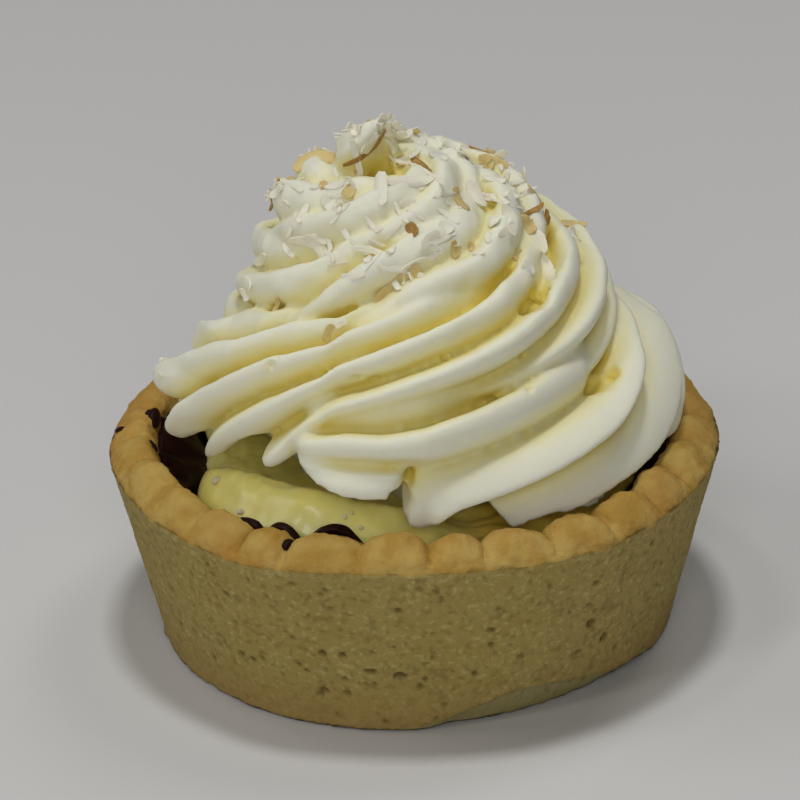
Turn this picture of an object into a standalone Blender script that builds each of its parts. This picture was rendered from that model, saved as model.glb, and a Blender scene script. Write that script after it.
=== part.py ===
"""Mini coconut cream pie.

A shortcrust case with a scalloped golden rim, lined with dark chocolate and filled
with custard. On the custard sits one rope of whipped cream, piped through a star
nozzle in a rising spiral and scattered with shreds of coconut.

Sizes below are in millimetres and become metres where a mesh is made. +Z is up, the
base stands on z = 0 and its centre is the origin. Azimuths are in degrees: 0 is the
right side (+X), 90 the back (+Y) and 270 the front (-Y).
"""

import math
import random

import bmesh
import bpy
import numpy as np
from mathutils import Matrix, Vector
from mathutils.bvhtree import BVHTree

MM = 0.001
GAP = 0.3

# Pastry case
RIM_RADIUS = 40.0
BASE_RADIUS = 33.9
EDGE_HEIGHT = 24.7
FLOOR_THICKNESS = 5.0
HOLLOW_FLOOR_RADIUS = 28.5
HOLLOW_TOP_RADIUS = 33.6
CREST_INSET = 3.7
CREST_RISE = 2.0
SCALLOPS = 27
SCALLOP_RISE = 1.7
SCALLOP_BULGE = 0.6
FIRST_VALLEY = 231.0
STEPS_A_SCALLOP = 6
CHIP_AZIMUTH = 295.0
CHIP_HALF_ANGLE = 24.0
CHIP_DEPTH = 2.4
CHIP_HEIGHT = 1.4

# Chocolate lining
LINING_THICKNESS = 1.0
LINING_TOP = 24.5
LINING_SEGMENTS = 60
# where chocolate has pooled: azimuth, half angle, how far it reaches inward
POOLS = ((180, 27, 4.8), (243, 9, 0.9), (257, 7, 0.7), (343, 13, 1.0))
# where chocolate climbs the back of the scallops: azimuth, half angle, extra height
CLIMBS = ((244, 20, 2.9), (178, 28, 1.5))

# Custard
CUSTARD_LEVEL = 24.5
CUSTARD_SEGMENTS = 60
# the custard keeps clear of the chocolate pooled within this angle of it
POOL_MARGIN = 6.0
# lumps beside the cream: azimuth, radius, half width, height
LUMPS = ((206, 28.5, 5.0, 1.3), (226, 29.0, 5.5, 1.6), (243, 27.5, 5.0, 1.2), (258, 29.0, 4.5, 0.9))

# Rope of cream. Stations along the spiral: azimuth, centre radius, centre height, rope radius
ROPE = (
    (240, 26.0, 36.0, 8.5),
    (254, 24.0, 35.5, 11.5),
    (272, 21.5, 34.5, 13.0),
    (315, 21.0, 33.0, 14.0),
    (360, 21.2, 32.6, 14.3),
    (450, 20.5, 34.0, 13.4),
    (500, 20.8, 34.2, 12.6),
    (540, 21.3, 34.9, 12.5),
    (562, 20.6, 37.4, 13.0),
    (585, 20.0, 39.0, 13.0),
    (630, 18.0, 43.0, 12.8),
    (675, 16.5, 45.0, 12.3),
    (720, 15.0, 46.0, 11.2),
    (810, 13.4, 46.5, 10.6),
    (900, 12.9, 47.8, 10.2),
    (945, 12.6, 49.5, 10.2),
    (990, 11.8, 52.2, 9.8),
    (1080, 10.0, 54.8, 8.8),
    (1170, 9.0, 56.0, 8.4),
    (1260, 8.6, 56.3, 8.2),
    (1350, 7.0, 58.5, 7.6),
    (1440, 5.0, 60.0, 6.4),
    (1530, 3.6, 62.5, 5.2),
    (1620, 2.6, 65.6, 4.0),
    (1665, 1.8, 68.8, 2.2),
    (1700, 1.2, 71.8, 0.6),
)
# up to this azimuth the rope's radius follows its stations exactly, so that the start stays short
FIRM_START = 810
# turn of the ridges about the rope: azimuth, number of the ridge that points outward there
RIDGE_TURN = (
    (240, -0.95), (253, -0.52), (262, -0.45), (271, -0.27), (279, 0.03), (289, 0.27), (299, 0.45),
    (311, 0.80), (321, 1.02), (337, 1.43), (400, 3.2), (470, 5.1), (530, 6.85), (545, 7.27),
    (565, 7.78), (580, 8.6), (595, 9.33), (610, 10.12), (630, 10.45), (655, 10.85), (685, 11.4),
    (715, 11.6), (800, 13.2), (880, 14.6), (930, 15.4), (947, 15.75), (963, 16.3), (970, 16.7),
    (985, 17.0), (1000, 17.22), (1022, 17.5), (1038, 17.65), (1100, 18.8), (1240, 22.1),
    (1330, 23.9), (1400, 25.0), (1700, 28.5),
)
# share of the section a ridge takes, in degrees: azimuth, then at each of these angles
SPREAD_ANGLES = (-90, -30, 15, 90)
RIDGE_SPREAD = (
    (240, 41, 41, 28, 28),
    (345, 41, 41, 28, 28),
    (440, 40, 36, 30, 34),
    (545, 46, 30, 28, 34),
    (700, 46, 30, 28, 36),
    (800, 46, 40, 40, 40),
    (940, 48, 48, 48, 48),
    (1400, 55, 55, 55, 55),
    (1700, 60, 60, 60, 60),
)
# depth of the grooves as a share of the rope's radius: azimuth, share
GROOVE_DEPTHS = ((240, 0.40), (640, 0.40), (720, 0.36), (1300, 0.32), (1700, 0.20))
# a ridge's upper groove lies this far above its number, and its crest this far down to the next
UPPER_GROOVE = 0.42
CREST_PLACE = 0.30
RIDGE_ROUNDNESS = 0.8
# the first ridge at the rope's start is a broad face with its crest at the bottom
BROAD_RIDGE_END = 380
BROAD_RIDGE_CREST = 0.78
# this ridge is sunk behind the rope's start: its number, then azimuth and height
SUNK_RIDGE = 11
SUNK_HEIGHTS = ((560, 1.0), (600, 0.72), (645, 0.74), (685, 1.0))
# swellings and dents: azimuth, half length, angle round the section, half width, factor
SWELLINGS = (
    (520, 70, 68, 45, 0.84),
    (553, 14, -3, 18, 1.09),
    (670, 5.5, 50, 8, 0.62),
    (325, 4.5, 45, 7, 0.62),
    (985, 30, -10, 24, 1.12),
    (905, 60, -30, 30, 0.93),
    (256, 22, -22, 26, 1.10),
)
# ridge ends that hang over the custard: azimuth, angle round the section below which they end
TIP_ANGLES = ((500, -60), (545, -12), (560, -22), (570, -42), (595, -36), (612, -30), (640, -60))
TIP_STRENGTH = ((500, 0), (540, 1), (620, 1), (650, 0))
TIP_UNDERCUT = 0.38
# the rope's sheared start: angle round the section, azimuth of the start
START_ANGLES = (-180, -70, -40, -26, -10)
START_AZIMUTHS = (290, 290, 268, 244, 238)
START_TAPER = 12
# the blunt end of the broad ridge stands out past the rounded start
BLUNT_ANGLES = (-60, -38, -26, -10, -2)
BLUNT_AZIMUTHS = (275, 273, 271, 269, 268)
BLUNT_LENGTH = 3.5
BLUNT_STEP = 0.16
SECTION_STEPS = 120
AZIMUTH_STEP = 2.5
FLATTENING = 0.95
# lean of the spiral's axis: height, shift along X
LEAN_HEIGHTS = (30, 50, 60, 75)
LEAN_SHIFTS = (0.5, 0.5, -1.5, -3.5)
# the rim holds the cream in: largest radius at the custard, and how fast it grows upward
HELD_RADIUS = 32.8
HELD_SLOPE = 0.55
CORE_LOWER_RADIUS = 21.0
CORE_UPPER_RADIUS = 6.0
CORE_TOP = 60.0
CREAM_BASE = CUSTARD_LEVEL + 0.4
CREAM_GRAIN = 0.8
CREAM_TRIANGLES = 6700

# Coconut: azimuth, height, length, width, turn from the level, curl
PLACED_SHREDS = (
    (234, 61.0, 7.5, 1.4, -12, 0.6),
    (246, 60.5, 6.0, 1.3, -50, 0.5),
    (260, 61.5, 5.5, 1.2, 2, 0.4),
    (269, 58.0, 8.5, 2.0, 32, 0.5),
    (228, 53.5, 4.5, 1.2, 78, 0.3),
    (209, 54.0, 5.5, 1.3, 70, 0.4),
    (271, 66.5, 6.0, 1.3, 86, 0.6),
    (252, 69.0, 8.0, 0.9, 20, 1.0),
    (218, 68.0, 5.0, 2.2, 15, 0.4),
    (297, 68.0, 4.5, 1.0, -55, 0.6),
    (322, 65.5, 4.5, 1.2, -70, 0.4),
    (290, 61.0, 6.0, 1.2, 8, 0.4),
    (318, 56.0, 6.0, 1.4, -30, 0.4),
    (335, 58.5, 5.0, 1.0, 25, 0.5),
    (345, 56.5, 4.5, 1.2, 80, 0.4),
    (247, 52.0, 4.0, 1.2, 60, 0.3),
)
SCATTERED_SHREDS = 16
SHRED_HEIGHTS = (51.0, 69.0)
SHRED_LENGTHS = (3.5, 7.0)
SHRED_WIDTHS = (1.0, 1.6)
SHRED_THICKNESS = 0.7
SHRED_SPACING = 4.2
SHRED_SINK = 0.15
SEED = 11


def hump(azimuth, centre, half_angle):
    """A smooth bump that is 1 at its centre and 0 from half_angle on."""
    away = abs((azimuth - centre + 180.0) % 360.0 - 180.0)
    if away >= half_angle:
        return 0.0
    return 0.5 + 0.5 * math.cos(math.pi * away / half_angle)


def wave(azimuth, lobes, crest):
    """A cosine with a number of lobes round the pie and a crest at one azimuth."""
    return math.cos(math.radians(lobes * (azimuth - crest)))


def scallop(azimuth):
    """Height of the rim's round beads, 0 in the valleys and 1 at the tops."""
    phase = (azimuth - FIRST_VALLEY) / 360.0 * SCALLOPS + 0.12 * wave(azimuth, 4, 20)
    across = 2.0 * (phase % 1.0) - 1.0
    return math.sqrt(max(0.0, 1.0 - across * across))


def edge_height(azimuth):
    """Height of the line where the wall meets the rim."""
    return EDGE_HEIGHT + 0.35 * wave(azimuth, 5, 268) + 0.1 * wave(azimuth, 2, 100)


def edge_radius(azimuth):
    """Radius of that line, a little flat at the front."""
    return (RIM_RADIUS + 0.15 * wave(azimuth, 1, 330) - 0.5 * hump(azimuth, 268, 24)
            + 0.5 * hump(azimuth, 240, 16))


def crust_section(azimuth):
    """Radius and height of the case's rings, from the base up and down into the hollow."""
    bead = scallop(azimuth)
    edge = edge_height(azimuth)
    rim = edge_radius(azimuth)
    base = BASE_RADIUS + 0.35 * wave(azimuth, 2, 225)
    chip = hump(azimuth, CHIP_AZIMUTH, CHIP_HALF_ANGLE)
    rise = CREST_RISE + SCALLOP_RISE * bead + 0.4 * hump(azimuth, 262, 24)
    lower = 0.9 + CHIP_HEIGHT * chip

    def wall(height):
        return base + (rim - base) * height / edge

    return [
        (base - 1.0 - CHIP_DEPTH * chip, 0.0),
        (wall(lower) - 0.1, lower),
        (wall(5.0), 5.0),
        (wall(edge - 1.0), edge - 1.0),
        (rim + SCALLOP_BULGE * bead * 0.5, edge),
        (rim - 0.6 + SCALLOP_BULGE * bead, edge + 0.55 * rise),
        (rim - 2.0 + 0.3 * bead, edge + 0.9 * rise),
        (rim - CREST_INSET, edge + rise),
        (HOLLOW_TOP_RADIUS + 1.5 - 0.3 * bead, edge + 0.8 * rise),
        (HOLLOW_TOP_RADIUS, edge + 0.3),
        (HOLLOW_FLOOR_RADIUS, FLOOR_THICKNESS),
    ]


def pool(azimuth):
    """How far the chocolate reaches inward at an azimuth."""
    return max(reach * hump(azimuth, centre, half) for centre, half, reach in POOLS)


def lining_section(azimuth):
    """Radius and height of the lining's rings, up its outside and down its inside."""
    reach = pool(azimuth)
    top = LINING_TOP + max(extra * hump(azimuth, centre, half) for centre, half, extra in CLIMBS)
    outside = HOLLOW_TOP_RADIUS - GAP
    floor = FLOOR_THICKNESS + GAP
    return [
        (HOLLOW_FLOOR_RADIUS - GAP, floor),
        (outside - 0.1, EDGE_HEIGHT - 0.2),
        (outside - 0.1, top - 0.2),
        (outside - 0.5, top),
        (outside - LINING_THICKNESS, top - 0.3),
        (outside - LINING_THICKNESS - 0.2 - reach, 24.0 - 0.2 * reach),
        (outside - LINING_THICKNESS - 1.0 - reach, 20.5),
        (HOLLOW_FLOOR_RADIUS - GAP - LINING_THICKNESS, floor + LINING_THICKNESS),
    ]


def lump_height(azimuth, radius):
    """Extra height of the custard's soft lumps at one spot."""
    height = 0.0
    for centre, distance, half_width, rise in LUMPS:
        turn = math.radians(azimuth - centre)
        away = math.hypot(radius * math.cos(turn) - distance, 0.6 * radius * math.sin(turn))
        height += rise * max(0.0, 1.0 - (away / half_width) ** 2) ** 2
    return height


def custard_section(azimuth):
    """Radius and height of the custard's rings, up its side and in over its top."""
    reach = max(pool(azimuth + turn) for turn in (-POOL_MARGIN, 0.0, POOL_MARGIN))
    side = HOLLOW_TOP_RADIUS - GAP - LINING_THICKNESS - GAP
    floor = FLOOR_THICKNESS + GAP + LINING_THICKNESS + GAP
    outer = side - 0.2 - reach
    rings = [
        (HOLLOW_FLOOR_RADIUS - GAP - LINING_THICKNESS - GAP, floor),
        (side - 1.0 - reach, 20.5),
        (outer, 23.6 - 0.2 * reach),
        (outer - 0.8, 24.2 - 0.1 * reach + 0.5 * lump_height(azimuth, outer - 0.8)),
    ]
    for share in (0.93, 0.86, 0.78, 0.66):
        rings.append((outer * share, CUSTARD_LEVEL + lump_height(azimuth, outer * share)))
    return rings


def link(name, mesh):
    """Put a mesh in the scene as a named object."""
    thing = bpy.data.objects.new(name, mesh)
    bpy.context.scene.collection.objects.link(thing)
    return thing


def turned_solid(name, section, segments):
    """A closed solid from a section that may change with the azimuth.

    Its first and last rings are closed by level fans about the axis.
    """
    shape = bmesh.new()
    loops = []
    for step in range(segments):
        azimuth = 360.0 * step / segments + FIRST_VALLEY
        turn = math.radians(azimuth)
        loops.append([
            shape.verts.new((radius * math.cos(turn) * MM, radius * math.sin(turn) * MM, height * MM))
            for radius, height in section(azimuth)
        ])
    lower = shape.verts.new((0.0, 0.0, loops[0][0].co.z))
    upper = shape.verts.new((0.0, 0.0, loops[0][-1].co.z))
    for loop, following in zip(loops, loops[1:] + loops[:1]):
        shape.faces.new((lower, following[0], loop[0]))
        shape.faces.new((upper, loop[-1], following[-1]))
        for ring in range(len(loop) - 1):
            shape.faces.new((loop[ring], following[ring], following[ring + 1], loop[ring + 1]))
    bmesh.ops.recalc_face_normals(shape, faces=shape.faces)
    mesh = bpy.data.meshes.new(name)
    shape.to_mesh(mesh)
    shape.free()
    return link(name, mesh)


def smoothed(values, width):
    """Values with their corners rounded over a number of samples."""
    weights = np.hanning(width)
    padded = np.pad(values, width // 2, mode="edge")
    return np.convolve(padded, weights / weights.sum(), "valid")[:len(values)]


def along(table, column, azimuths):
    """One column of a table of stations, read at each azimuth."""
    rows = np.array(table, dtype=float)
    return np.interp(azimuths, rows[:, 0], rows[:, column])


def blend(table, azimuth):
    """A value from pairs of azimuth and value, read at one azimuth."""
    return np.interp(azimuth, [row[0] for row in table], [row[1] for row in table])


def eased(share):
    """A share clamped to 0 and 1, with soft ends."""
    share = np.clip(share, 0, 1)
    return share * share * (3 - 2 * share)


def ridges_above(azimuth, angles):
    """How many ridges lie between the rope's outward side and each angle of its section."""
    fine = np.arange(-180.0, 181.0)
    spread = [along(RIDGE_SPREAD, column, azimuth) for column in range(1, len(SPREAD_ANGLES) + 1)]
    rate = 1 / np.interp(fine, SPREAD_ANGLES, spread)
    count = np.concatenate([[0], np.cumsum((rate[1:] + rate[:-1]) / 2)])
    return np.interp(angles, fine, count - np.interp(0, fine, count))


def ridge_profile(azimuth, angles):
    """Number of the ridge at each angle of the section, and its height from 0 to 1."""
    turned = blend(RIDGE_TURN, azimuth) - ridges_above(azimuth, angles) - UPPER_GROOVE
    number = np.floor(turned) + 1
    place = turned - np.floor(turned)
    crest = np.full(len(angles), CREST_PLACE)
    if azimuth < BROAD_RIDGE_END:
        crest[number == 0] = BROAD_RIDGE_CREST
    away = np.where(place < crest, 1 - place / crest, (place - crest) / (1 - crest))
    height = np.maximum(np.cos(np.pi / 2 * away), 0) ** RIDGE_ROUNDNESS
    return number, height


def rope_reach(azimuth, thickness, angles):
    """Distance of the rope's surface from its centre line at each angle of one section."""
    number, height = ridge_profile(azimuth, angles)
    smooth_start = 0.35 ** eased((2 - angles) / 8)
    depth = blend(GROOVE_DEPTHS, azimuth) * (smooth_start if azimuth < START_AZIMUTHS[2] else 1)
    reach = thickness * (1 - depth * (1 - height))
    if azimuth > BROAD_RIDGE_END:
        sunk = np.where(number == SUNK_RIDGE, np.clip(1.6 * height, 0, 1), 0)
        reach *= 1 - (1 - blend(SUNK_HEIGHTS, azimuth)) * sunk

    ramp = np.clip((azimuth - np.interp(angles, START_ANGLES, START_AZIMUTHS)) / START_TAPER, 0, 1)
    reach *= np.sqrt(1 - (1 - ramp) ** 2)
    blunt = np.clip((azimuth - np.interp(angles, BLUNT_ANGLES, BLUNT_AZIMUTHS)) / BLUNT_LENGTH, 0, 1)
    reach *= 1 - BLUNT_STEP * np.clip((6 - angles) / 10, 0, 1) * (1 - blunt)

    held_up = eased((angles - blend(TIP_ANGLES, azimuth) + 8) / 16)
    reach *= 1 - blend(TIP_STRENGTH, azimuth) * TIP_UNDERCUT * (1 - held_up)
    for centre, half_length, angle, half_width, factor in SWELLINGS:
        away = ((azimuth - centre) / half_length) ** 2 + ((angles - angle) / half_width) ** 2
        reach *= 1 + (factor - 1) * np.clip(1 - away, 0, 1) ** 1.5
    return reach + MM


def rope_rings():
    """Rings of points of the piped rope, in millimetres, from its start to its tip."""
    azimuths = np.arange(ROPE[0][0], ROPE[-1][0] + 0.01, AZIMUTH_STEP)
    corner = int(58 / AZIMUTH_STEP) | 1
    radius = smoothed(along(ROPE, 1, azimuths), corner)
    height = smoothed(along(ROPE, 2, azimuths), corner)
    thickness = along(ROPE, 3, azimuths)
    thickness = np.where(azimuths < FIRM_START, thickness, smoothed(thickness, corner // 2 | 1))
    lean = np.interp(height, LEAN_HEIGHTS, LEAN_SHIFTS)
    angles = np.linspace(-180, 180, SECTION_STEPS, endpoint=False)
    rings = []
    for index, azimuth in enumerate(azimuths):
        turn = math.radians(azimuth)
        reach = rope_reach(azimuth, thickness[index], angles)
        level = height[index] + reach * np.sin(np.radians(angles)) * FLATTENING
        held = HELD_RADIUS + HELD_SLOPE * np.maximum(level - CREAM_BASE, 0)
        outward = np.minimum(radius[index] + reach * np.cos(np.radians(angles)), held)
        rings.append(np.stack([
            lean[index] + outward * math.cos(turn),
            outward * math.sin(turn),
            level,
        ], axis=1))
    return rings


def tube_mesh(name, rings):
    """A closed tube through rings that have the same number of points."""
    count = len(rings[0])
    points = np.concatenate(rings + [rings[0].mean(axis=0)[None], rings[-1].mean(axis=0)[None]])
    first = len(rings) * count
    last = first + 1
    faces = []
    for step in range(len(rings) - 1):
        for spot in range(count):
            beside = (spot + 1) % count
            faces.append((step * count + spot, (step + 1) * count + spot,
                          (step + 1) * count + beside, step * count + beside))
    for spot in range(count):
        beside = (spot + 1) % count
        faces.append((first, spot, beside))
        faces.append((last, (len(rings) - 1) * count + beside, (len(rings) - 1) * count + spot))
    mesh = bpy.data.meshes.new(name)
    mesh.from_pydata([tuple(point * MM) for point in points], [], faces)
    shape = bmesh.new()
    shape.from_mesh(mesh)
    bmesh.ops.recalc_face_normals(shape, faces=shape.faces)
    shape.to_mesh(mesh)
    shape.free()
    return mesh


def apply_modifiers(thing):
    """Replace an object's mesh by the result of its modifiers."""
    view = bpy.context.evaluated_depsgraph_get()
    mesh = bpy.data.meshes.new_from_object(thing.evaluated_get(view))
    thing.modifiers.clear()
    thing.data = mesh


def piped_cream():
    """The spiral of cream as one closed solid with a flat underside on the custard."""
    mesh = tube_mesh("whipped_cream", rope_rings())
    shape = bmesh.new()
    shape.from_mesh(mesh)
    core_height = CORE_TOP - EDGE_HEIGHT + 1.0
    core_middle = EDGE_HEIGHT - 1.0 + core_height / 2
    bmesh.ops.create_cone(
        shape, cap_ends=True, segments=48, radius1=CORE_LOWER_RADIUS * MM,
        radius2=CORE_UPPER_RADIUS * MM, depth=core_height * MM,
        matrix=Matrix.Translation((0, 0, core_middle * MM)))
    shape.to_mesh(mesh)
    shape.free()
    cream = link("whipped_cream", mesh)

    merge = cream.modifiers.new("Merge turns", "REMESH")
    merge.mode = "VOXEL"
    merge.voxel_size = CREAM_GRAIN * MM
    soften = cream.modifiers.new("Soften", "SMOOTH")
    soften.factor = 0.5
    soften.iterations = 3
    apply_modifiers(cream)

    shape = bmesh.new()
    shape.from_mesh(cream.data)
    everything = shape.verts[:] + shape.edges[:] + shape.faces[:]
    level = Vector((0, 0, CREAM_BASE * MM))
    cut = bmesh.ops.bisect_plane(shape, geom=everything, plane_co=level, plane_no=(0, 0, -1),
                                 clear_outer=True)
    rim = [item for item in cut["geom_cut"] if isinstance(item, bmesh.types.BMEdge)]
    bmesh.ops.triangle_fill(shape, edges=rim, use_beauty=True, normal=(0, 0, -1))
    keep_largest_body(shape)
    bmesh.ops.triangulate(shape, faces=shape.faces)
    bmesh.ops.recalc_face_normals(shape, faces=shape.faces)
    triangles = len(shape.faces)
    shape.to_mesh(cream.data)
    shape.free()

    thin = cream.modifiers.new("Fewer faces", "DECIMATE")
    thin.ratio = CREAM_TRIANGLES / triangles
    apply_modifiers(cream)
    level_underside(cream.data)
    return cream


def level_underside(mesh):
    """Put the points of the underside exactly on its plane."""
    for point in mesh.vertices:
        if point.co.z < (CREAM_BASE + 0.25) * MM:
            point.co.z = CREAM_BASE * MM


def keep_largest_body(shape):
    """Delete all but the largest connected body of a bmesh."""
    unseen = set(shape.verts)
    bodies = []
    while unseen:
        body = {unseen.pop()}
        front = list(body)
        while front:
            for edge in front.pop().link_edges:
                for vert in edge.verts:
                    if vert not in body:
                        body.add(vert)
                        front.append(vert)
        unseen -= body
        bodies.append(body)
    largest = max(bodies, key=len)
    scraps = [vert for vert in shape.verts if vert not in largest]
    bmesh.ops.delete(shape, geom=scraps, context="VERTS")


def shred_mesh(frame, length, width, curl):
    """One strip of coconut, curved along its length and narrower at its ends.

    The frame's axes are the strip's length, its width and its outward normal.
    """
    rings = []
    for share, narrowing in ((-1.0, 0.55), (-0.35, 1.0), (0.35, 0.95), (1.0, 0.6)):
        middle = Vector((share * length / 2, curl * share * share, curl * 0.5 * share * share))
        side = Vector((0, width / 2 * narrowing, 0))
        top = Vector((0, 0, SHRED_THICKNESS / 2))
        corners = (middle - side - top, middle + side - top, middle + side + top, middle - side + top)
        rings.append(np.array([frame @ (corner * MM) / MM for corner in corners]))
    return tube_mesh("coconut", rings)


def shred_spots():
    """Placed shreds, then seeded ones: azimuth, height, length, width, turn and curl."""
    draw = random.Random(SEED)
    for spot in PLACED_SHREDS:
        yield spot
    for number in range(SCATTERED_SHREDS * 6):
        azimuth = 360.0 * ((number * 0.618034) % 1.0) + draw.uniform(-9, 9)
        height = draw.uniform(*SHRED_HEIGHTS)
        length = draw.uniform(*SHRED_LENGTHS)
        width = draw.uniform(*SHRED_WIDTHS)
        yield azimuth, height, length, width, draw.uniform(-80, 80), draw.uniform(0.2, 0.8)


def coconut(cream):
    """Strips that lie on the cream, each sunk a little so that it fuses."""
    surface = BVHTree.FromObject(cream, bpy.context.evaluated_depsgraph_get())
    shreds = []
    centres = []
    for azimuth, height, length, width, turn, curl in shred_spots():
        if len(shreds) == len(PLACED_SHREDS) + SCATTERED_SHREDS:
            break
        facing = Vector((math.cos(math.radians(azimuth)), math.sin(math.radians(azimuth)), 0))
        axis = Vector((np.interp(height, LEAN_HEIGHTS, LEAN_SHIFTS) * MM, 0, height * MM))
        aim = (-facing - Vector((0, 0, 0.35))).normalized()
        place, normal, _, _ = surface.ray_cast(axis - aim * 60 * MM, aim)
        if place is None:
            continue
        if any((place - centre).length < SHRED_SPACING * MM for centre in centres):
            continue
        normal = (normal + 0.5 * facing).normalized()
        level = Vector((0, 0, 1)).cross(normal).normalized()
        run = Matrix.Rotation(math.radians(turn), 3, normal) @ level
        beside = normal.cross(run)
        frame = Matrix((run, beside, normal)).transposed().to_4x4()
        frame.translation = place + normal * (SHRED_THICKNESS / 2 - SHRED_SINK) * MM
        shreds.append(link(f"shred_{len(shreds):02d}", shred_mesh(frame, length, width, curl)))
        centres.append(place)
    return shreds


def fuse(base, pieces):
    """Join small pieces to what they lie on by one union, and remove their objects."""
    group = bpy.data.collections.new("Coconut")
    bpy.context.scene.collection.children.link(group)
    for piece in pieces:
        group.objects.link(piece)
    union = base.modifiers.new("Coconut", "BOOLEAN")
    union.operation = "UNION"
    union.operand_type = "COLLECTION"
    union.collection = group
    apply_modifiers(base)
    for piece in pieces:
        bpy.data.objects.remove(piece)
    bpy.data.collections.remove(group)
    shape = bmesh.new()
    shape.from_mesh(base.data)
    keep_largest_body(shape)
    bmesh.ops.triangulate(shape, faces=shape.faces)
    shape.to_mesh(base.data)
    shape.free()


def finish(thing, colour, roughness):
    """Give an object its material and smooth shading between its creases."""
    material = bpy.data.materials.new(thing.name)
    material.use_nodes = True
    shader = material.node_tree.nodes["Principled BSDF"]
    shader.inputs["Base Color"].default_value = (*colour, 1.0)
    shader.inputs["Roughness"].default_value = roughness
    shader.inputs["Metallic"].default_value = 0.0
    thing.data.materials.clear()
    thing.data.materials.append(material)
    thing.data.shade_smooth()
    thing.data.set_sharp_from_angle(angle=math.radians(70))


def main():
    """Model the pie in an empty scene."""
    for thing in list(bpy.data.objects):
        bpy.data.objects.remove(thing)
    crust = turned_solid("crust", crust_section, SCALLOPS * STEPS_A_SCALLOP)
    finish(crust, (0.55, 0.33, 0.12), 0.8)
    lining = turned_solid("chocolate_lining", lining_section, LINING_SEGMENTS)
    finish(lining, (0.03, 0.008, 0.006), 0.25)
    custard = turned_solid("custard", custard_section, CUSTARD_SEGMENTS)
    finish(custard, (0.80, 0.66, 0.20), 0.3)
    cream = piped_cream()
    fuse(cream, coconut(cream))
    finish(cream, (0.86, 0.80, 0.58), 0.45)


main()
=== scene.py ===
"""Mini coconut cream pie: its looks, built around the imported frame.

The pie is a baked tartlet case with a scalloped rim, a dark chocolate lining, lumpy
custard, one piped rope of whipped cream in a rising spiral and scattered coconut.
Every sub-assembly below is a class that models its own mesh in the frame's space and
dresses it. Sizes are millimetres until a mesh is made. Azimuths are degrees round the
pie: 0 is the right side (+X), 90 the back (+Y) and 270 the front (-Y).
"""

import logging
import math
import random
from dataclasses import dataclass
from enum import Enum
from typing import Callable, Iterable, Sequence

import bmesh
import bpy
import numpy as np
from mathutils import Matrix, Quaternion, Vector, noise
from mathutils.bvhtree import BVHTree


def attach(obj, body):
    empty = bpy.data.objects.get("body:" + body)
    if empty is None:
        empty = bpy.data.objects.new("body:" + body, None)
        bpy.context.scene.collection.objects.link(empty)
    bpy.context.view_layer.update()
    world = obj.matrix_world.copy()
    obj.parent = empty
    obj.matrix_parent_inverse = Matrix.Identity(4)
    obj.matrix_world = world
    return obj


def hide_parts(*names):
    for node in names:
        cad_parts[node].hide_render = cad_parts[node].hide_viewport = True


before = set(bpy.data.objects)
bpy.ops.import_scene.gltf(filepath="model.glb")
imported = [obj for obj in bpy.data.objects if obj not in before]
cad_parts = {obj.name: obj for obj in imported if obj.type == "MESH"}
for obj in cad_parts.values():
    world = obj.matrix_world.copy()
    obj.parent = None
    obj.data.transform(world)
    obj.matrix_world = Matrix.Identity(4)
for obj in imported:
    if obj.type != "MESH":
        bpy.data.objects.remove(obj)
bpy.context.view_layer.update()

LOG = logging.getLogger("coconut_cream_pie")
MM = 0.001
SEED = 20
TINY = 1e-9
GOLDEN_TURN = 2.399963
GOLDEN_SHARE = 0.618034
# lean of the spiral's axis: height, shift along X
LEAN_HEIGHTS = (30, 50, 60, 75)
LEAN_SHIFTS = (0.5, 0.5, -1.5, -3.5)
# the most pieces that one division of an edge makes, and the divisors that are tried
MOST_PIECES = 60
DIVISORS = (60, 50, 48, 45, 43, 41, 40, 37, 36, 31, 30, 29, 25, 24, 23, 20, 19, 17, 16, 15,
            *range(13, 1, -1))

Colour = tuple[float, float, float]
Pixel = tuple[float, float]
Row = tuple[float, ...]
Table = tuple[Row, ...]
Spots = tuple[tuple[Pixel, float, float], ...]
Array = np.ndarray
Piece = bpy.types.Object
Socket = bpy.types.NodeSocket


# plain shape helpers


def hump(azimuth: Array, centre: float, half_angle: float) -> Array:
    """Give a smooth bump round the pie.

    Args:
        azimuth: Azimuths in degrees.
        centre: Azimuth of the bump's top.
        half_angle: Angle at which it has faded out.

    Returns:
        1 at the centre, 0 from half_angle on.
    """
    away = np.abs((np.asarray(azimuth, float) - centre + 180.0) % 360.0 - 180.0)
    bump = 0.5 + 0.5 * np.cos(np.pi * np.minimum(away / half_angle, 1))
    return np.where(away < half_angle, bump, 0.0)


def wave(azimuth: Array, lobes: float, crest: float) -> Array:
    """Give a cosine with a number of lobes round the pie and a crest at one azimuth."""
    return np.cos(np.radians(lobes * (np.asarray(azimuth, float) - crest)))


def swayed(value: Array | float, azimuth: Array, waves: Table = (), humps: Table = ()) -> Array:
    """Add slow waves and humps round the pie to a value.

    Args:
        value: The value without them.
        azimuth: Azimuths in degrees.
        waves: Size, number of lobes and azimuth of a crest of each wave.
        humps: Size, azimuth and half angle of each hump.

    Returns:
        The value at each azimuth.
    """
    for size, lobes, crest in waves:
        value = value + size * wave(azimuth, lobes, crest)
    for size, centre, half_angle in humps:
        value = value + size * hump(azimuth, centre, half_angle)
    return value


def circle(count: int) -> Array:
    """Give the azimuths of even steps round the pie."""
    return 360.0 * np.arange(count) / count


def unit(vectors: Array) -> Array:
    """Scale vectors to a length of one."""
    return vectors / np.maximum(np.linalg.norm(vectors, axis=-1, keepdims=True), TINY)


def eased(share: Array) -> Array:
    """Clamp a share to 0 and 1 with soft ends."""
    share = np.clip(share, 0, 1)
    return share * share * (3 - 2 * share)


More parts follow.
